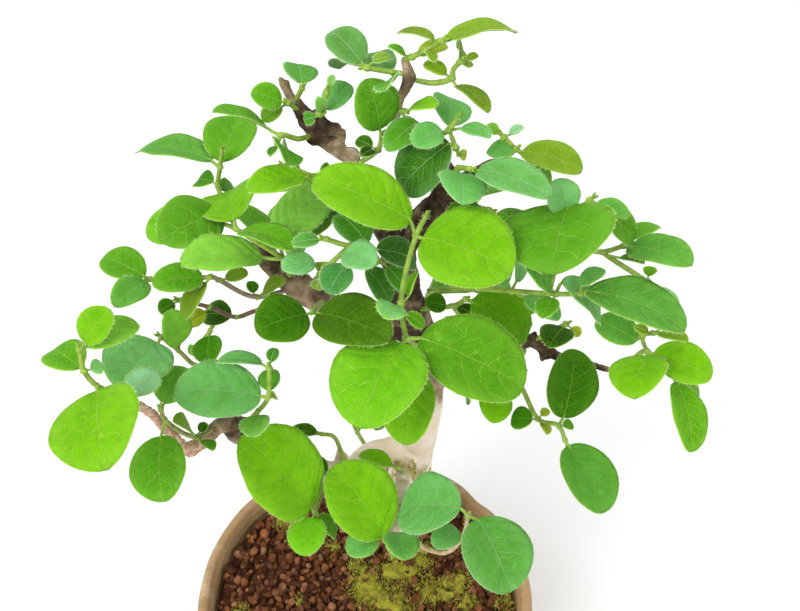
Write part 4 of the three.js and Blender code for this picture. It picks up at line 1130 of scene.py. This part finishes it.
# Each slot's leaves: the material's name, its roughness, the pale tone of its veins, how much of its net
# shows, and its sheen
LEAF_FINISH = {
    slot: leaf_material(*finish) for slot, finish in {
        "leaf_lime": ("young_leaf", 0.5, (0.44, 0.7, 0.09, 1), 0.34, 0.02),
        "leaf_mid": ("grown_leaf", 0.54, (0.36, 0.6, 0.11, 1), 0.34, 0.02),
        "leaf_blue": ("bloomed_leaf", 0.62, (0.4, 0.64, 0.32, 1), 0.26, 0.04),
        "leaf_dark": ("shaded_leaf", 0.56, (0.26, 0.44, 0.045, 1), 0.34, 0.02),
    }.items()
}
YOUNG_STEM = young_stem_material()
DOWN_HAIR = down_material()
BARK = bark_material()
CLAY = clay_material()
GRANULES = crumb_material()
MOSS = moss_material()


# The pot and what it holds

def uneven(x, y, z):
    """How much the hand-made pot is out of round: more at the rim than at the foot."""
    angle = math.atan2(y, x)
    share = min(1, max(0, z / POT_HEIGHT))
    lobes = LOBES * (math.sin(3 * angle + 0.6) * 0.6 + math.sin(5 * angle + 2) * 0.4)
    off_notch = math.atan2(math.sin(angle - NOTCH_AT), math.cos(angle - NOTCH_AT))
    notch = NOTCH_DEPTH / 60 * math.exp(-(off_notch / NOTCH_WIDTH) ** 2)
    return 1 + share * lobes - share ** 4 * notch


def make_pot():
    """Spun from its profile, put out of round, with two drain holes through its floor."""
    bm = bmesh.new()
    profile = [Vector((r, 0, z)) for r, z in ((0, 0), *POT_OUTSIDE, *POT_INSIDE, (0, 8))]
    corners = [bm.verts.new(point) for point in profile]
    for pair in zip(corners, corners[1:]):
        bm.edges.new(pair)
    # The rim and the foot are rounded, and long stretches are given rows of their own
    rounded = [corner for corner in corners if corner.co.z > 58 or (corner.co.x > 39 and corner.co.z < 7)]
    bmesh.ops.bevel(bm, geom=rounded, offset=1.2, segments=3, profile=0.5, material=-1, affect="VERTICES")
    long_edges = [edge for edge in bm.edges if edge.calc_length() > 5]
    bmesh.ops.subdivide_edges(bm, edges=long_edges, cuts=5)
    bmesh.ops.spin(bm, geom=bm.verts[:] + bm.edges[:], cent=(0, 0, 0), axis=(0, 0, 1), angle=2 * math.pi,
                   steps=144, use_merge=True, use_duplicate=False)
    bmesh.ops.remove_doubles(bm, verts=bm.verts, dist=1e-3)
    bmesh.ops.recalc_face_normals(bm, faces=bm.faces)
    for corner in bm.verts:
        x, y, z = corner.co
        factor = uneven(x, y, z)
        dent = 0.22 * noise.fractal(Vector((x, y, z * 2.2)) * 0.07, 1, 2, 3) * min(1, z / 10)
        corner.co = Vector((x * factor, y * factor, z)) + Vector((x, y, 0)).normalized() * dent
    cutter = bmesh.new()
    for hand in (-1, 1):
        place = Matrix.Translation((hand * DRAIN_OFFSET, 0, 4))
        bmesh.ops.create_cone(cutter, cap_ends=True, segments=32, radius1=DRAIN_RADIUS, radius2=DRAIN_RADIUS,
                              depth=20, matrix=place)
    drains = put_in_scene("drains", cutter)
    bm = with_modifier(bm, "BOOLEAN", operation="DIFFERENCE", solver="EXACT", object=drains)
    take_away(drains)
    for face in bm.faces:
        face.smooth = True
        face.material_index = 0
    for edge in bm.edges:
        edge.smooth = edge.is_boundary or edge.calc_face_angle(0) < 0.7
    return finished("clay_pot", bm, [CLAY], "clay", "pot")


def soil_height(x, y):
    away = math.hypot(x - MOUND_AT[0], y - MOUND_AT[1]) / MOUND_WIDTH
    relief = math.sin(x * 1.7 + 2 * math.sin(y * 0.9)) * math.cos(y * 1.9 + 2 * math.sin(x * 0.8))
    return SOIL_LEVEL + MOUND_HEIGHT * math.exp(-away * away) + SOIL_BUMP * relief


def inside_radius(x, y, z):
    """How far the pot's inside reaches at that side and height."""
    rows = sorted((height, radius) for radius, height in POT_INSIDE)
    for (low, near), (high, far) in zip(rows, rows[1:]):
        if z <= high:
            break
    share = min(1, max(0, (z - low) / (high - low)))
    return (near + (far - near) * share) * uneven(x, y, z)


# Moss on the soil, as (across, down, radius in mm)
MOSS_PATCHES = (
    (372, 590, 10), (456, 584, 6), (468, 602, 5), (398, 572, 9), (420, 560, 7), (430, 590, 8), (396, 604, 9),
    (360, 566, 6), (446, 596, 4), (508, 604, 6), (520, 590, 4), (404, 552, 5), (332, 548, 3.5),
    (300, 600, 2.5), (458, 574, 3),
)
# More of it round at the back and the sides
MOSS_BEHIND = ((40, 22, 6), (-30, 34, 7), (-44, -6, 4), (8, 51, 5), (30, 38, 6), (-12, 46, 5))


def moss_cover(x, y):
    """How much of the ground is moss there, 0 to 1."""
    best = 0
    for px, py, radius in MOSS_ON_SOIL:
        away = math.hypot(x - px, y - py) / radius
        ragged = 0.35 * noise.noise(Vector((x, y, 3)) * 0.35)
        best = max(best, 1.15 - away + ragged)
    return max(0, min(1, best * 2))


MOSS_ON_SOIL = [(*at_height(across, down, 56).xy, radius) for across, down, radius in MOSS_PATCHES]
MOSS_ON_SOIL += list(MOSS_BEHIND)


def make_soil():
    """The bed under the granules: a disc with the soil's relief, turned down at its edge, darker than the
    granules: the soil's own colour and painted shade of the gaps between them.
    """
    bm = bmesh.new()
    tint = bm.verts.layers.float_color.new("tint")

    def place(u, v):
        angle = 2 * math.pi * u
        x, y = math.cos(angle), math.sin(angle)
        if v < 0.2:
            z = 8.5 + 44 * v / 0.2
            reach = inside_radius(x, y, z) - 0.5
            return Vector((x * reach, y * reach, z))
        reach = (inside_radius(x, y, 53) - 0.5) * (1 - (v - 0.2) / 0.8)
        return Vector((x * reach, y * reach, soil_height(x * reach, y * reach) - 0.4))

    corners = grid(bm, 96, 50, place)
    bmesh.ops.remove_doubles(bm, verts=corners, dist=1e-3)
    bmesh.ops.holes_fill(bm, edges=[edge for edge in bm.edges if edge.is_boundary], sides=0)
    bmesh.ops.recalc_face_normals(bm, faces=bm.faces)
    # Darker than the granules: the soil's colour with painted shade for the gaps between them
    for corner in bm.verts:
        corner[tint] = linear(78, 48, 30)
    for face in bm.faces:
        face.smooth = True
    return finished("soil_bed", bm, [GRANULES], "soil", "soil")


def make_granules(wood_spots):
    """Loose clay granules in two layers, each a rounded crumb turned and dented in its own way."""
    draw = random.Random(11)
    places = []
    reach = 56
    steps = int(2 * reach / GRANULE_SPACING)
    for layer in range(2):
        for row in range(steps):
            for column in range(steps):
                x = -reach + (column + 0.5 * (row % 2)) * GRANULE_SPACING + draw.uniform(-0.9, 0.9)
                y = -reach + row * GRANULE_SPACING + draw.uniform(-0.9, 0.9)
                size = draw.choice(GRANULE_SIZES)
                if layer and draw.random() < 0.55:
                    continue
                if moss_cover(x, y) > 0.75 and draw.random() < 0.8:
                    continue
                if math.hypot(x, y) > inside_radius(x, y, SOIL_LEVEL) - 0.9 - size:
                    continue
                z = soil_height(x, y) + layer * 1.3 - 0.2 + draw.uniform(-0.4, 0.4)
                middle = Vector((x, y, z))
                if wood_spots.find(middle)[2] < 1.2 + size:
                    continue
                places.append((middle, size, draw.choice(CRUMB_TONES)))
    bm = bmesh.new()
    bmesh.ops.create_cube(bm, size=1.6)
    bmesh.ops.subdivide_edges(bm, edges=bm.edges[:], cuts=1, use_grid_fill=True)
    for corner in bm.verts:
        corner.co = corner.co.lerp(corner.co.normalized(), 0.62)
    shape = [corner.co.copy() for corner in bm.verts]
    bm, each = copies(bm, len(places))
    tint = bm.verts.layers.float_color["tint"]
    for (middle, size, tone), corners in zip(places, each):
        turn = Quaternion([draw.uniform(-1, 1) for _ in range(3)] + [draw.uniform(0.2, 1)]).normalized()
        squeeze = Vector((draw.uniform(0.8, 1.25), draw.uniform(0.75, 1.1), draw.uniform(0.6, 0.95)))
        colour = shaded(tone, draw.uniform(0.8, 1.15))
        for corner, local in zip(corners, shape):
            dented = local * draw.uniform(0.84, 1.14)
            corner.co = middle + turn @ (dented * squeeze) * size
            corner[tint] = colour
    for face in bm.faces:
        face.smooth = draw.random() < 0.5
    return finished("loose_granules", bm, [GRANULES], "soil")


def make_moss(wood):
    """Cushions of moss on the soil and round the foot of the trunk: short leafy spikes on low mounds."""
    draw = random.Random(23)
    tones = [linear(*tone) for tone in MOSS_TONES]
    places = []
    while len(places) < MOSS_SPIKES:
        x, y = draw.uniform(-54, 54), draw.uniform(-54, 54)
        cover = moss_cover(x, y)
        if draw.random() > cover or math.hypot(x, y) > inside_radius(x, y, SOIL_LEVEL) - 1.5:
            continue
        foot = Vector((x, y, soil_height(x, y) + 0.9 * cover - 0.5))
        lean = Vector((draw.gauss(0, 0.38), draw.gauss(0, 0.38), 1)).normalized()
        places.append((foot, lean, draw.uniform(1.4, 2.8), draw.uniform(0.14, 0.24), draw.choice(tones)))
    wood.faces.ensure_lookup_table()
    low = [face for face in wood.faces if face.calc_center_median().z < 112 and face.normal.z > -0.2]
    for face in draw.sample(low, min(MOSS_SPIKES_ON_WOOD, len(low))):
        middle = face.calc_center_median()
        if middle.z > moss_line(middle) - 8 or noise.noise(middle * 0.16) < -0.1:
            continue
        lean = (face.normal + Vector((draw.gauss(0, 0.3), draw.gauss(0, 0.3), 0.4))).normalized()
        places.append((middle, lean, draw.uniform(0.7, 1.4), draw.uniform(0.12, 0.22), draw.choice(tones)))
    bm, tint = spikes(places)
    for px, py, radius in MOSS_ON_SOIL:
        for _ in range(5):
            angle, away = draw.uniform(0, 6.28), draw.uniform(0, 0.55) * radius
            x, y = px + math.cos(angle) * away, py + math.sin(angle) * away
            if math.hypot(x, y) > inside_radius(x, y, SOIL_LEVEL) - radius * 0.5 - 1:
                continue
            middle = Vector((x, y, soil_height(x, y) - 0.3))
            reach = radius * draw.uniform(0.3, 0.5)
            for corner in lump(bm, middle, (reach, reach * draw.uniform(0.7, 1), 1.2), divisions=3):
                corner.co.z += 0.4 * noise.noise(corner.co * 0.8)
                corner[tint] = tones[1]
    return finished("moss", bm, [MOSS], "soil")


# The wood

def moss_line(spot):
    """How high the moss climbs up the wood: highest on the low limb that leans out in front."""
    if spot.x > 11 and spot.y < 26:
        return 114
    return 102 if spot.y < 33 else 72


# Short dead stubs of twigs, as (start, end, radius)
DEAD_STUBS = (
    ((341, 143, 34), (344, 130, 32), 1), ((534, 341, 17), (535, 332, 16), 0.9),
    ((546, 352, 16), (541, 361, 14), 0.9), ((288, 92, 38), (286, 80, 38), 1),
    ((455, 190, 28), (466, 180, 24), 1.6), ((196, 446, -4), (186, 455, -6), 2),
    ((341, 462, 20), (340, 450, 19), 1.5), ((268, 446, 6), (262, 437, 4), 1.8),
)


def wood_rows():
    """Each limb's points and radii."""
    for name, route in WOOD.items():
        yield name, [at(*row[:3]) for row in route], [row[3] for row in route]


def make_wood():
    """Trunk, limbs and knots grown into one skin, then roughened where the bark is old."""
    bm = bmesh.new()
    known = []
    for name, points, radii in wood_rows():
        trunk = name == "trunk"
        tube(bm, points, radii, 24 if trunk else 14, 1.6, roundness=0.25, ends=1)
        steps = 80
        for number in range(steps + 1):
            share = number / steps
            spot = on_curve(points, share)
            known.append((spot, between(BARK_AGE_AND_SHADE[name], share), between(radii, share)))
    for across, down, back, radius in KNOTS:
        lump(bm, at(across, down, back), (radius, radius * 0.9, radius), divisions=3)
    for start, end, radius in DEAD_STUBS:
        points = [at(*start), (at(*start) + at(*end)) / 2, at(*end)]
        tube(bm, points, (radius * 1.2, radius, radius * 0.8), 10, 1, roundness=0.2, ends=0.6)
    bm = with_modifier(bm, "REMESH", mode="VOXEL", voxel_size=0.55)
    for _ in range(2):
        bmesh.ops.smooth_vert(bm, verts=bm.verts, factor=0.5, use_axis_x=True, use_axis_y=True,
                              use_axis_z=True)
    tree = KDTree(len(known))
    for number, (spot, _, _) in enumerate(known):
        tree.insert(spot, number)
    tree.balance()
    bark = bm.verts.layers.float_vector.new("bark")
    twig_tip = at(188, 449, -5)
    twig_end = at(148, 411, -8)
    bm.normal_update()
    moves = []
    for corner in bm.verts:
        _, number, _ = tree.find(corner.co)
        # The bark's age with its painted shade, which also sets how rough the bark is
        _, age_and_shade, radius = known[number]
        spot = corner.co
        coarse = noise.fractal(Vector((spot.x, spot.y, spot.z * 0.5)) * 0.28, 0.9, 2, 3)
        fine = noise.fractal(spot * 0.9, 0.8, 2, 3)
        size = min(1, radius / 4)
        near_twig = min((spot - place).length for place in (twig_tip, twig_end, (twig_tip + twig_end) / 2))
        rust = max(0, min(1, (9 - near_twig) / 4))
        lift = 0.1 + size * (0.22 + 0.38 * age_and_shade) * coarse + (0.05 + 0.13 * age_and_shade) * fine
        moves.append(corner.normal * (lift + rust * 0.4 * noise.fractal(spot * 1.3, 0.8, 2, 3)))
        moss = max(0, min(1, (moss_line(spot) - spot.z) / 14))
        corner[bark] = (age_and_shade, rust, moss)
    for corner, move in zip(bm.verts, moves):
        corner.co += move
    for face in bm.faces:
        face.smooth = True
    return bm


# Leafy shoots

def outline(along):
    """Half the width of a blade at along, 0 at its base and 1 at its tip, as a share of the half width."""
    return max(0, math.sin(math.pi * along)) ** 0.46


def leaf_seen(start, base_seen, tip_seen, wide_seen, swing):
    """The leaf whose blade is seen from base_seen to tip_seen and wide_seen across."""
    depth = (start - EYE).dot(AHEAD)
    base = EYE + sight_line(*base_seen) * depth
    scale = depth / SIGHT_SCALE
    seen_length = math.dist(tip_seen, base_seen) * scale
    seen_width = wide_seen * scale
    wanted = min(LONGEST, max(1.06 * seen_length, seen_width / ROUNDEST))
    lean = math.sqrt(max(0, wanted ** 2 - seen_length ** 2))
    turned = -lean if tip_seen[1] > base_seen[1] else lean
    tip = EYE + sight_line(*tip_seen) * (depth + turned + swing)
    if (base - start).length < SHORTEST_STALK:
        base = start + (tip - base).normalized() * SHORTEST_STALK
    length = (tip - base).length
    axis = (tip - base).normalized()
    width = max(1.1 * seen_width, SLIMMEST * length)
    roll = math.acos(min(1, seen_width / width))
    facing = EYE - base
    facing = (facing - axis * facing.dot(axis)).normalized()
    aside = axis.cross(facing)
    normal = facing * math.cos(roll) + aside * math.sin(roll) * (-1 if aside.z < 0 else 1)
    normal.normalize()
    return SimpleNamespace(start=start, base=base, axis=axis, normal=normal, side=axis.cross(normal),
                           length=length, width=width)


def leaf_behind(start, outward, length, swing):
    """A leaf of the far side, which grows outward and faces up."""
    axis = (outward + UP * swing / 20).normalized()
    normal = UP + AHEAD * 0.35 - outward * 0.2
    normal = (normal - axis * normal.dot(axis)).normalized()
    return SimpleNamespace(start=start, base=start + axis * 2.6, axis=axis, normal=normal,
                           side=axis.cross(normal), length=length, width=length * 0.72)


def on_blade(leaf, across, along):
    """A point of the blade's middle surface: across from -1 to 1, along from 0 to 1."""
    reach = across * leaf.width * outline(along) / 2
    lift = ARCH * leaf.length * 4 * along * (1 - along) + FOLD * abs(reach)
    hand = 2.1 if across > 0 else 0
    wave = math.sin(leaf.phase + hand + leaf.ripples * along) * math.sin(math.pi * along)
    lift += leaf.wavy * leaf.length * across ** 2 * wave
    waves = Vector((reach * 0.17, leaf.length * along * 0.17, leaf.seed * 50))
    lift += 0.016 * leaf.length * noise.noise(waves)
    lift -= 0.25 * leaf.length * max(0, along - 0.72) ** 2
    return leaf.base + leaf.axis * (leaf.length * along) + leaf.side * reach + leaf.normal * lift


def leaves_of(name):
    """The shoot's stems as points, and its leaves, each with its green."""
    if name in SHOOTS:
        shoot = SHOOTS[name]
        points = {letter: at(*row) for letter, row in shoot["points"].items()}
        stems = [[points[letter] for letter in letters] for letters in shoot["stems"]]
        leaves = []
        for letter, base, tip, wide, swing, green in shoot["leaves"]:
            leaf = leaf_seen(points[letter], base, tip, wide, swing)
            leaf.green = green
            leaves.append(leaf)
    else:
        shoot = FAR_SHOOTS[name]
        stems = [[at(*row) for row in shoot["points"]]]
        leaves = []
    for stem in stems:
        stem.append(stem[-1] + (stem[-1] - stem[-2]).normalized() * STEM_BUD)
    if name in FAR_SHOOTS:
        for number, (pair, half, size, swing) in enumerate(shoot["leaves"]):
            share = FIRST_FAR_PAIR + (1 - FIRST_FAR_PAIR) * pair / (shoot["pairs"] - 1)
            along = heading(stems[0], share)
            level = along.cross(UP).normalized()
            steep = level.cross(along).normalized()
            angle = half * math.pi + (pair % 2) * math.pi / 2 + 0.5
            outward = (level * math.cos(angle) + steep * math.sin(angle) + along * 0.45).normalized()
            leaf = leaf_behind(on_curve(stems[0], share), outward, shoot["leaf"] * size, swing)
            leaf.green = FAR_GREENS[(number * 5 + pair) % len(FAR_GREENS)]
            leaves.append(leaf)
    return stems, leaves


def downy(leaf, draw, places):
    """Adds the hairs of one leaf: a fringe along its margin and short ones on its face."""
    for number in range(int(leaf.length * FRINGE_HAIRS)):
        hand = 1 if number % 2 else -1
        along = 0.5 - 0.5 * math.cos(math.pi * draw.uniform(0.08, 0.97))
        foot = on_blade(leaf, hand * 0.995, along)
        onward = (on_blade(leaf, hand, min(1, along + 0.02)) - foot).normalized()
        outward = leaf.side * hand + onward * draw.uniform(-0.2, 0.9) + leaf.normal * draw.gauss(0, 0.35)
        places.append((foot, outward.normalized(), draw.uniform(0.4, 1.0), 0.045, WHITE))
    for _ in range(int(leaf.length * leaf.width * FACE_HAIRS)):
        across, along = draw.uniform(-0.92, 0.92), draw.uniform(0.06, 0.94)
        foot = on_blade(leaf, across, along) + leaf.normal * BLADE_THICKNESS * 0.4
        outward = leaf.normal + leaf.axis * draw.uniform(0, 0.9) + leaf.side * draw.gauss(0, 0.3)
        places.append((foot, outward.normalized(), draw.uniform(0.25, 0.5), 0.03, WHITE))


def make_blade(bm, leaf, layers):
    """One blade: a grid bent to it, with a lower face, thinner towards the margin."""
    blade, spread, tint, under = layers
    large = leaf.length > 14
    columns, rows = (12, 16) if large else (8, 10)
    colour = shaded(GREENS[leaf.green], leaf.shade)
    corners = bmesh.ops.create_grid(bm, x_segments=columns, y_segments=rows, size=1)["verts"]
    for corner in corners:
        across = corner.co.x
        along = 0.5 - 0.5 * math.cos(math.pi * (corner.co.y + 1) / 2)
        corner[blade] = (across, along, leaf.seed)
        corner[spread] = (across * leaf.width * outline(along) / 2, along * leaf.length, leaf.length)
        corner[tint] = colour
        corner[under] = 0
        half = BLADE_THICKNESS / 2 * (1 - 0.6 * across ** 2)
        corner.co = on_blade(leaf, across, along) + leaf.normal * half
    faces = faces_of(corners)
    for face in faces:
        face.smooth = True
        face.material_index = ON_BLADE
    grown = bmesh.ops.extrude_face_region(bm, geom=faces, use_keep_orig=True)["geom"]
    lower = [part for part in grown if isinstance(part, bmesh.types.BMVert)]
    for corner in lower:
        corner.co -= leaf.normal * BLADE_THICKNESS * (1 - 0.6 * corner[blade].x ** 2)
        corner[under] = 1
    both = corners + lower
    bmesh.ops.remove_doubles(bm, verts=both, dist=1e-4)
    both = [corner for corner in both if corner.is_valid]
    bmesh.ops.recalc_face_normals(bm, faces=faces_of(both))


def make_shoot(name):
    """A leafy shoot: downy stems, stalks with the ribs they run into, nodes, buds and blades."""
    draw = random.Random(name)
    stems, leaves = leaves_of(name)
    for leaf in leaves:
        leaf.phase = draw.uniform(0, 6.28)
        leaf.ripples = draw.uniform(6, 11)
        leaf.wavy = draw.uniform(0.008, 0.024)
        leaf.seed = draw.random()
        leaf.shade = draw.uniform(0.92, 1.08)
    hairs = []
    for leaf in leaves:
        downy(leaf, draw, hairs)
    for stem in stems:
        for _ in range(int(length_of(stem) * STEM_HAIRS)):
            share = draw.uniform(0.04, 0.99)
            along = heading(stem, share)
            aside = along.orthogonal().normalized()
            aside.rotate(Quaternion(along, draw.uniform(0, 6.28)))
            foot = on_curve(stem, share) + aside * STEM_RADIUS * 0.8
            outward = (aside + along * 0.3).normalized()
            hairs.append((foot, outward, draw.uniform(0.4, 0.9), 0.035, WHITE))
    bm, _ = spikes(hairs)
    blade = bm.verts.layers.float_vector.new("blade")
    spread = bm.verts.layers.float_vector.new("spread")
    under = bm.verts.layers.float.new("under")
    tint = bm.verts.layers.float_color["tint"]
    for face in bm.faces:
        face.material_index = ON_HAIR
    stem_tone = linear(*STEM_TONES.get(name, YOUNG_TONE))
    tip_tone = linear(142, 176, 66)
    for stem in stems:
        radii = [STEM_RADIUS * (1 - 0.3 * i / (len(stem) - 1)) for i in range(len(stem))]
        for corner in tube(bm, stem, radii, 10, 1.4):
            corner[tint] = stem_tone
    for leaf in leaves:
        turn = leaf.axis.to_track_quat("Z", "Y")
        for corner in lump(bm, leaf.start, (0.84, 0.84, 1.1), turn):
            corner[tint] = tip_tone
        bend = (leaf.start + leaf.base) / 2 - leaf.normal * 0.06 * (leaf.base - leaf.start).length
        foot = on_blade(leaf, 0, 0.02)
        ribs = [on_blade(leaf, 0, share) - leaf.normal * 0.3 for share in (0.22, 0.45, 0.75)]
        stalk = [leaf.start, bend, foot, *ribs]
        thick = 0.34 + 0.009 * leaf.length
        for corner in tube(bm, stalk, (thick * 1.2, thick, thick * 0.85, 0.34, 0.24, 0.12), 7, 1.6):
            corner[tint] = tip_tone
    for stem in stems:
        end, way = stem[-1], (stem[-1] - stem[-2]).normalized()
        for hand in (-1, 1):
            aside = way.orthogonal().normalized() * hand
            turn = (way + aside * 0.35).to_track_quat("Z", "Y")
            for corner in lump(bm, end + way * 0.4 + aside * 0.28, (0.34, 0.46, 1), turn):
                corner[tint] = linear(138, 172, 52)
    for face in bm.faces:
        if face.material_index != ON_HAIR:
            face.material_index = ON_STEM
    for leaf in leaves:
        make_blade(bm, leaf, (blade, spread, tint, under))
    slot = SLOTS.get(name, "leaf_mid")
    return finished(f"leafy_{name}", bm, [LEAF_FINISH[slot], YOUNG_STEM, DOWN_HAIR], slot, f"shoot_{name}")


# Everything

make_pot()
make_soil()
wood = make_wood()
wood_spots = KDTree(len(wood.verts))
for number, corner in enumerate(wood.verts):
    wood_spots.insert(corner.co, number)
wood_spots.balance()
make_granules(wood_spots)
make_moss(wood)
finished("grown_wood", wood, [BARK], "bark", "trunk_and_branches")
for name in [*SHOOTS, *FAR_SHOOTS]:
    make_shoot(name)


# Floor, light and camera

def make_floor():
    bm = bmesh.new()
    bmesh.ops.create_grid(bm, x_segments=8, y_segments=8, size=6)
    floor = put_in_scene("pale_floor", bm)
    material, tree, shader = surface("pale_floor", 0.9, Specular_IOR_Level=0.1)
    tone = mixed(tree, noisy(tree, object_spot(tree), 2, 2), (0.86, 0.86, 0.87, 1), (0.9, 0.9, 0.9, 1))
    feed(tree, shader.inputs["Base Color"], tone)
    floor.data.materials.append(material)


def soft_light(name, place, size, power):
    """A square soft light that faces the tree's middle, all in metres."""
    data = bpy.data.lights.new(name, "AREA")
    data.shape = "SQUARE"
    data.size = size
    data.energy = power
    light = bpy.data.objects.new(name, data)
    light.location = place
    light.rotation_euler = (Vector(place) - Vector((0, 0, 0.15))).to_track_quat("Z", "Y").to_euler()
    bpy.context.scene.collection.objects.link(light)


make_floor()
soft_light("window_light", (-0.9, -0.9, 1.3), 1.2, 25)
soft_light("sky_light", (0.3, 0.9, 1.7), 1.6, 12)
soft_light("room_light", (1.4, -1.0, 0.9), 1.2, 8)

scene = bpy.context.scene
scene.world = bpy.data.worlds.new("bright_room")
scene.world.use_nodes = True
scene.world.node_tree.nodes["Background"].inputs["Color"].default_value = (1, 1, 1, 1)
scene.world.node_tree.nodes["Background"].inputs["Strength"].default_value = 0.68
scene.view_settings.view_transform = "Standard"

camera_data = bpy.data.cameras.new("camera")
camera_data.lens = 40.5
camera_data.sensor_width = 36
camera_data.clip_start = 0.01
camera = bpy.data.objects.new("camera", camera_data)
camera.location = EYE / 1000
camera.rotation_euler = (math.pi / 2 - DOWN, 0, 0)
scene.collection.objects.link(camera)
scene.camera = camera
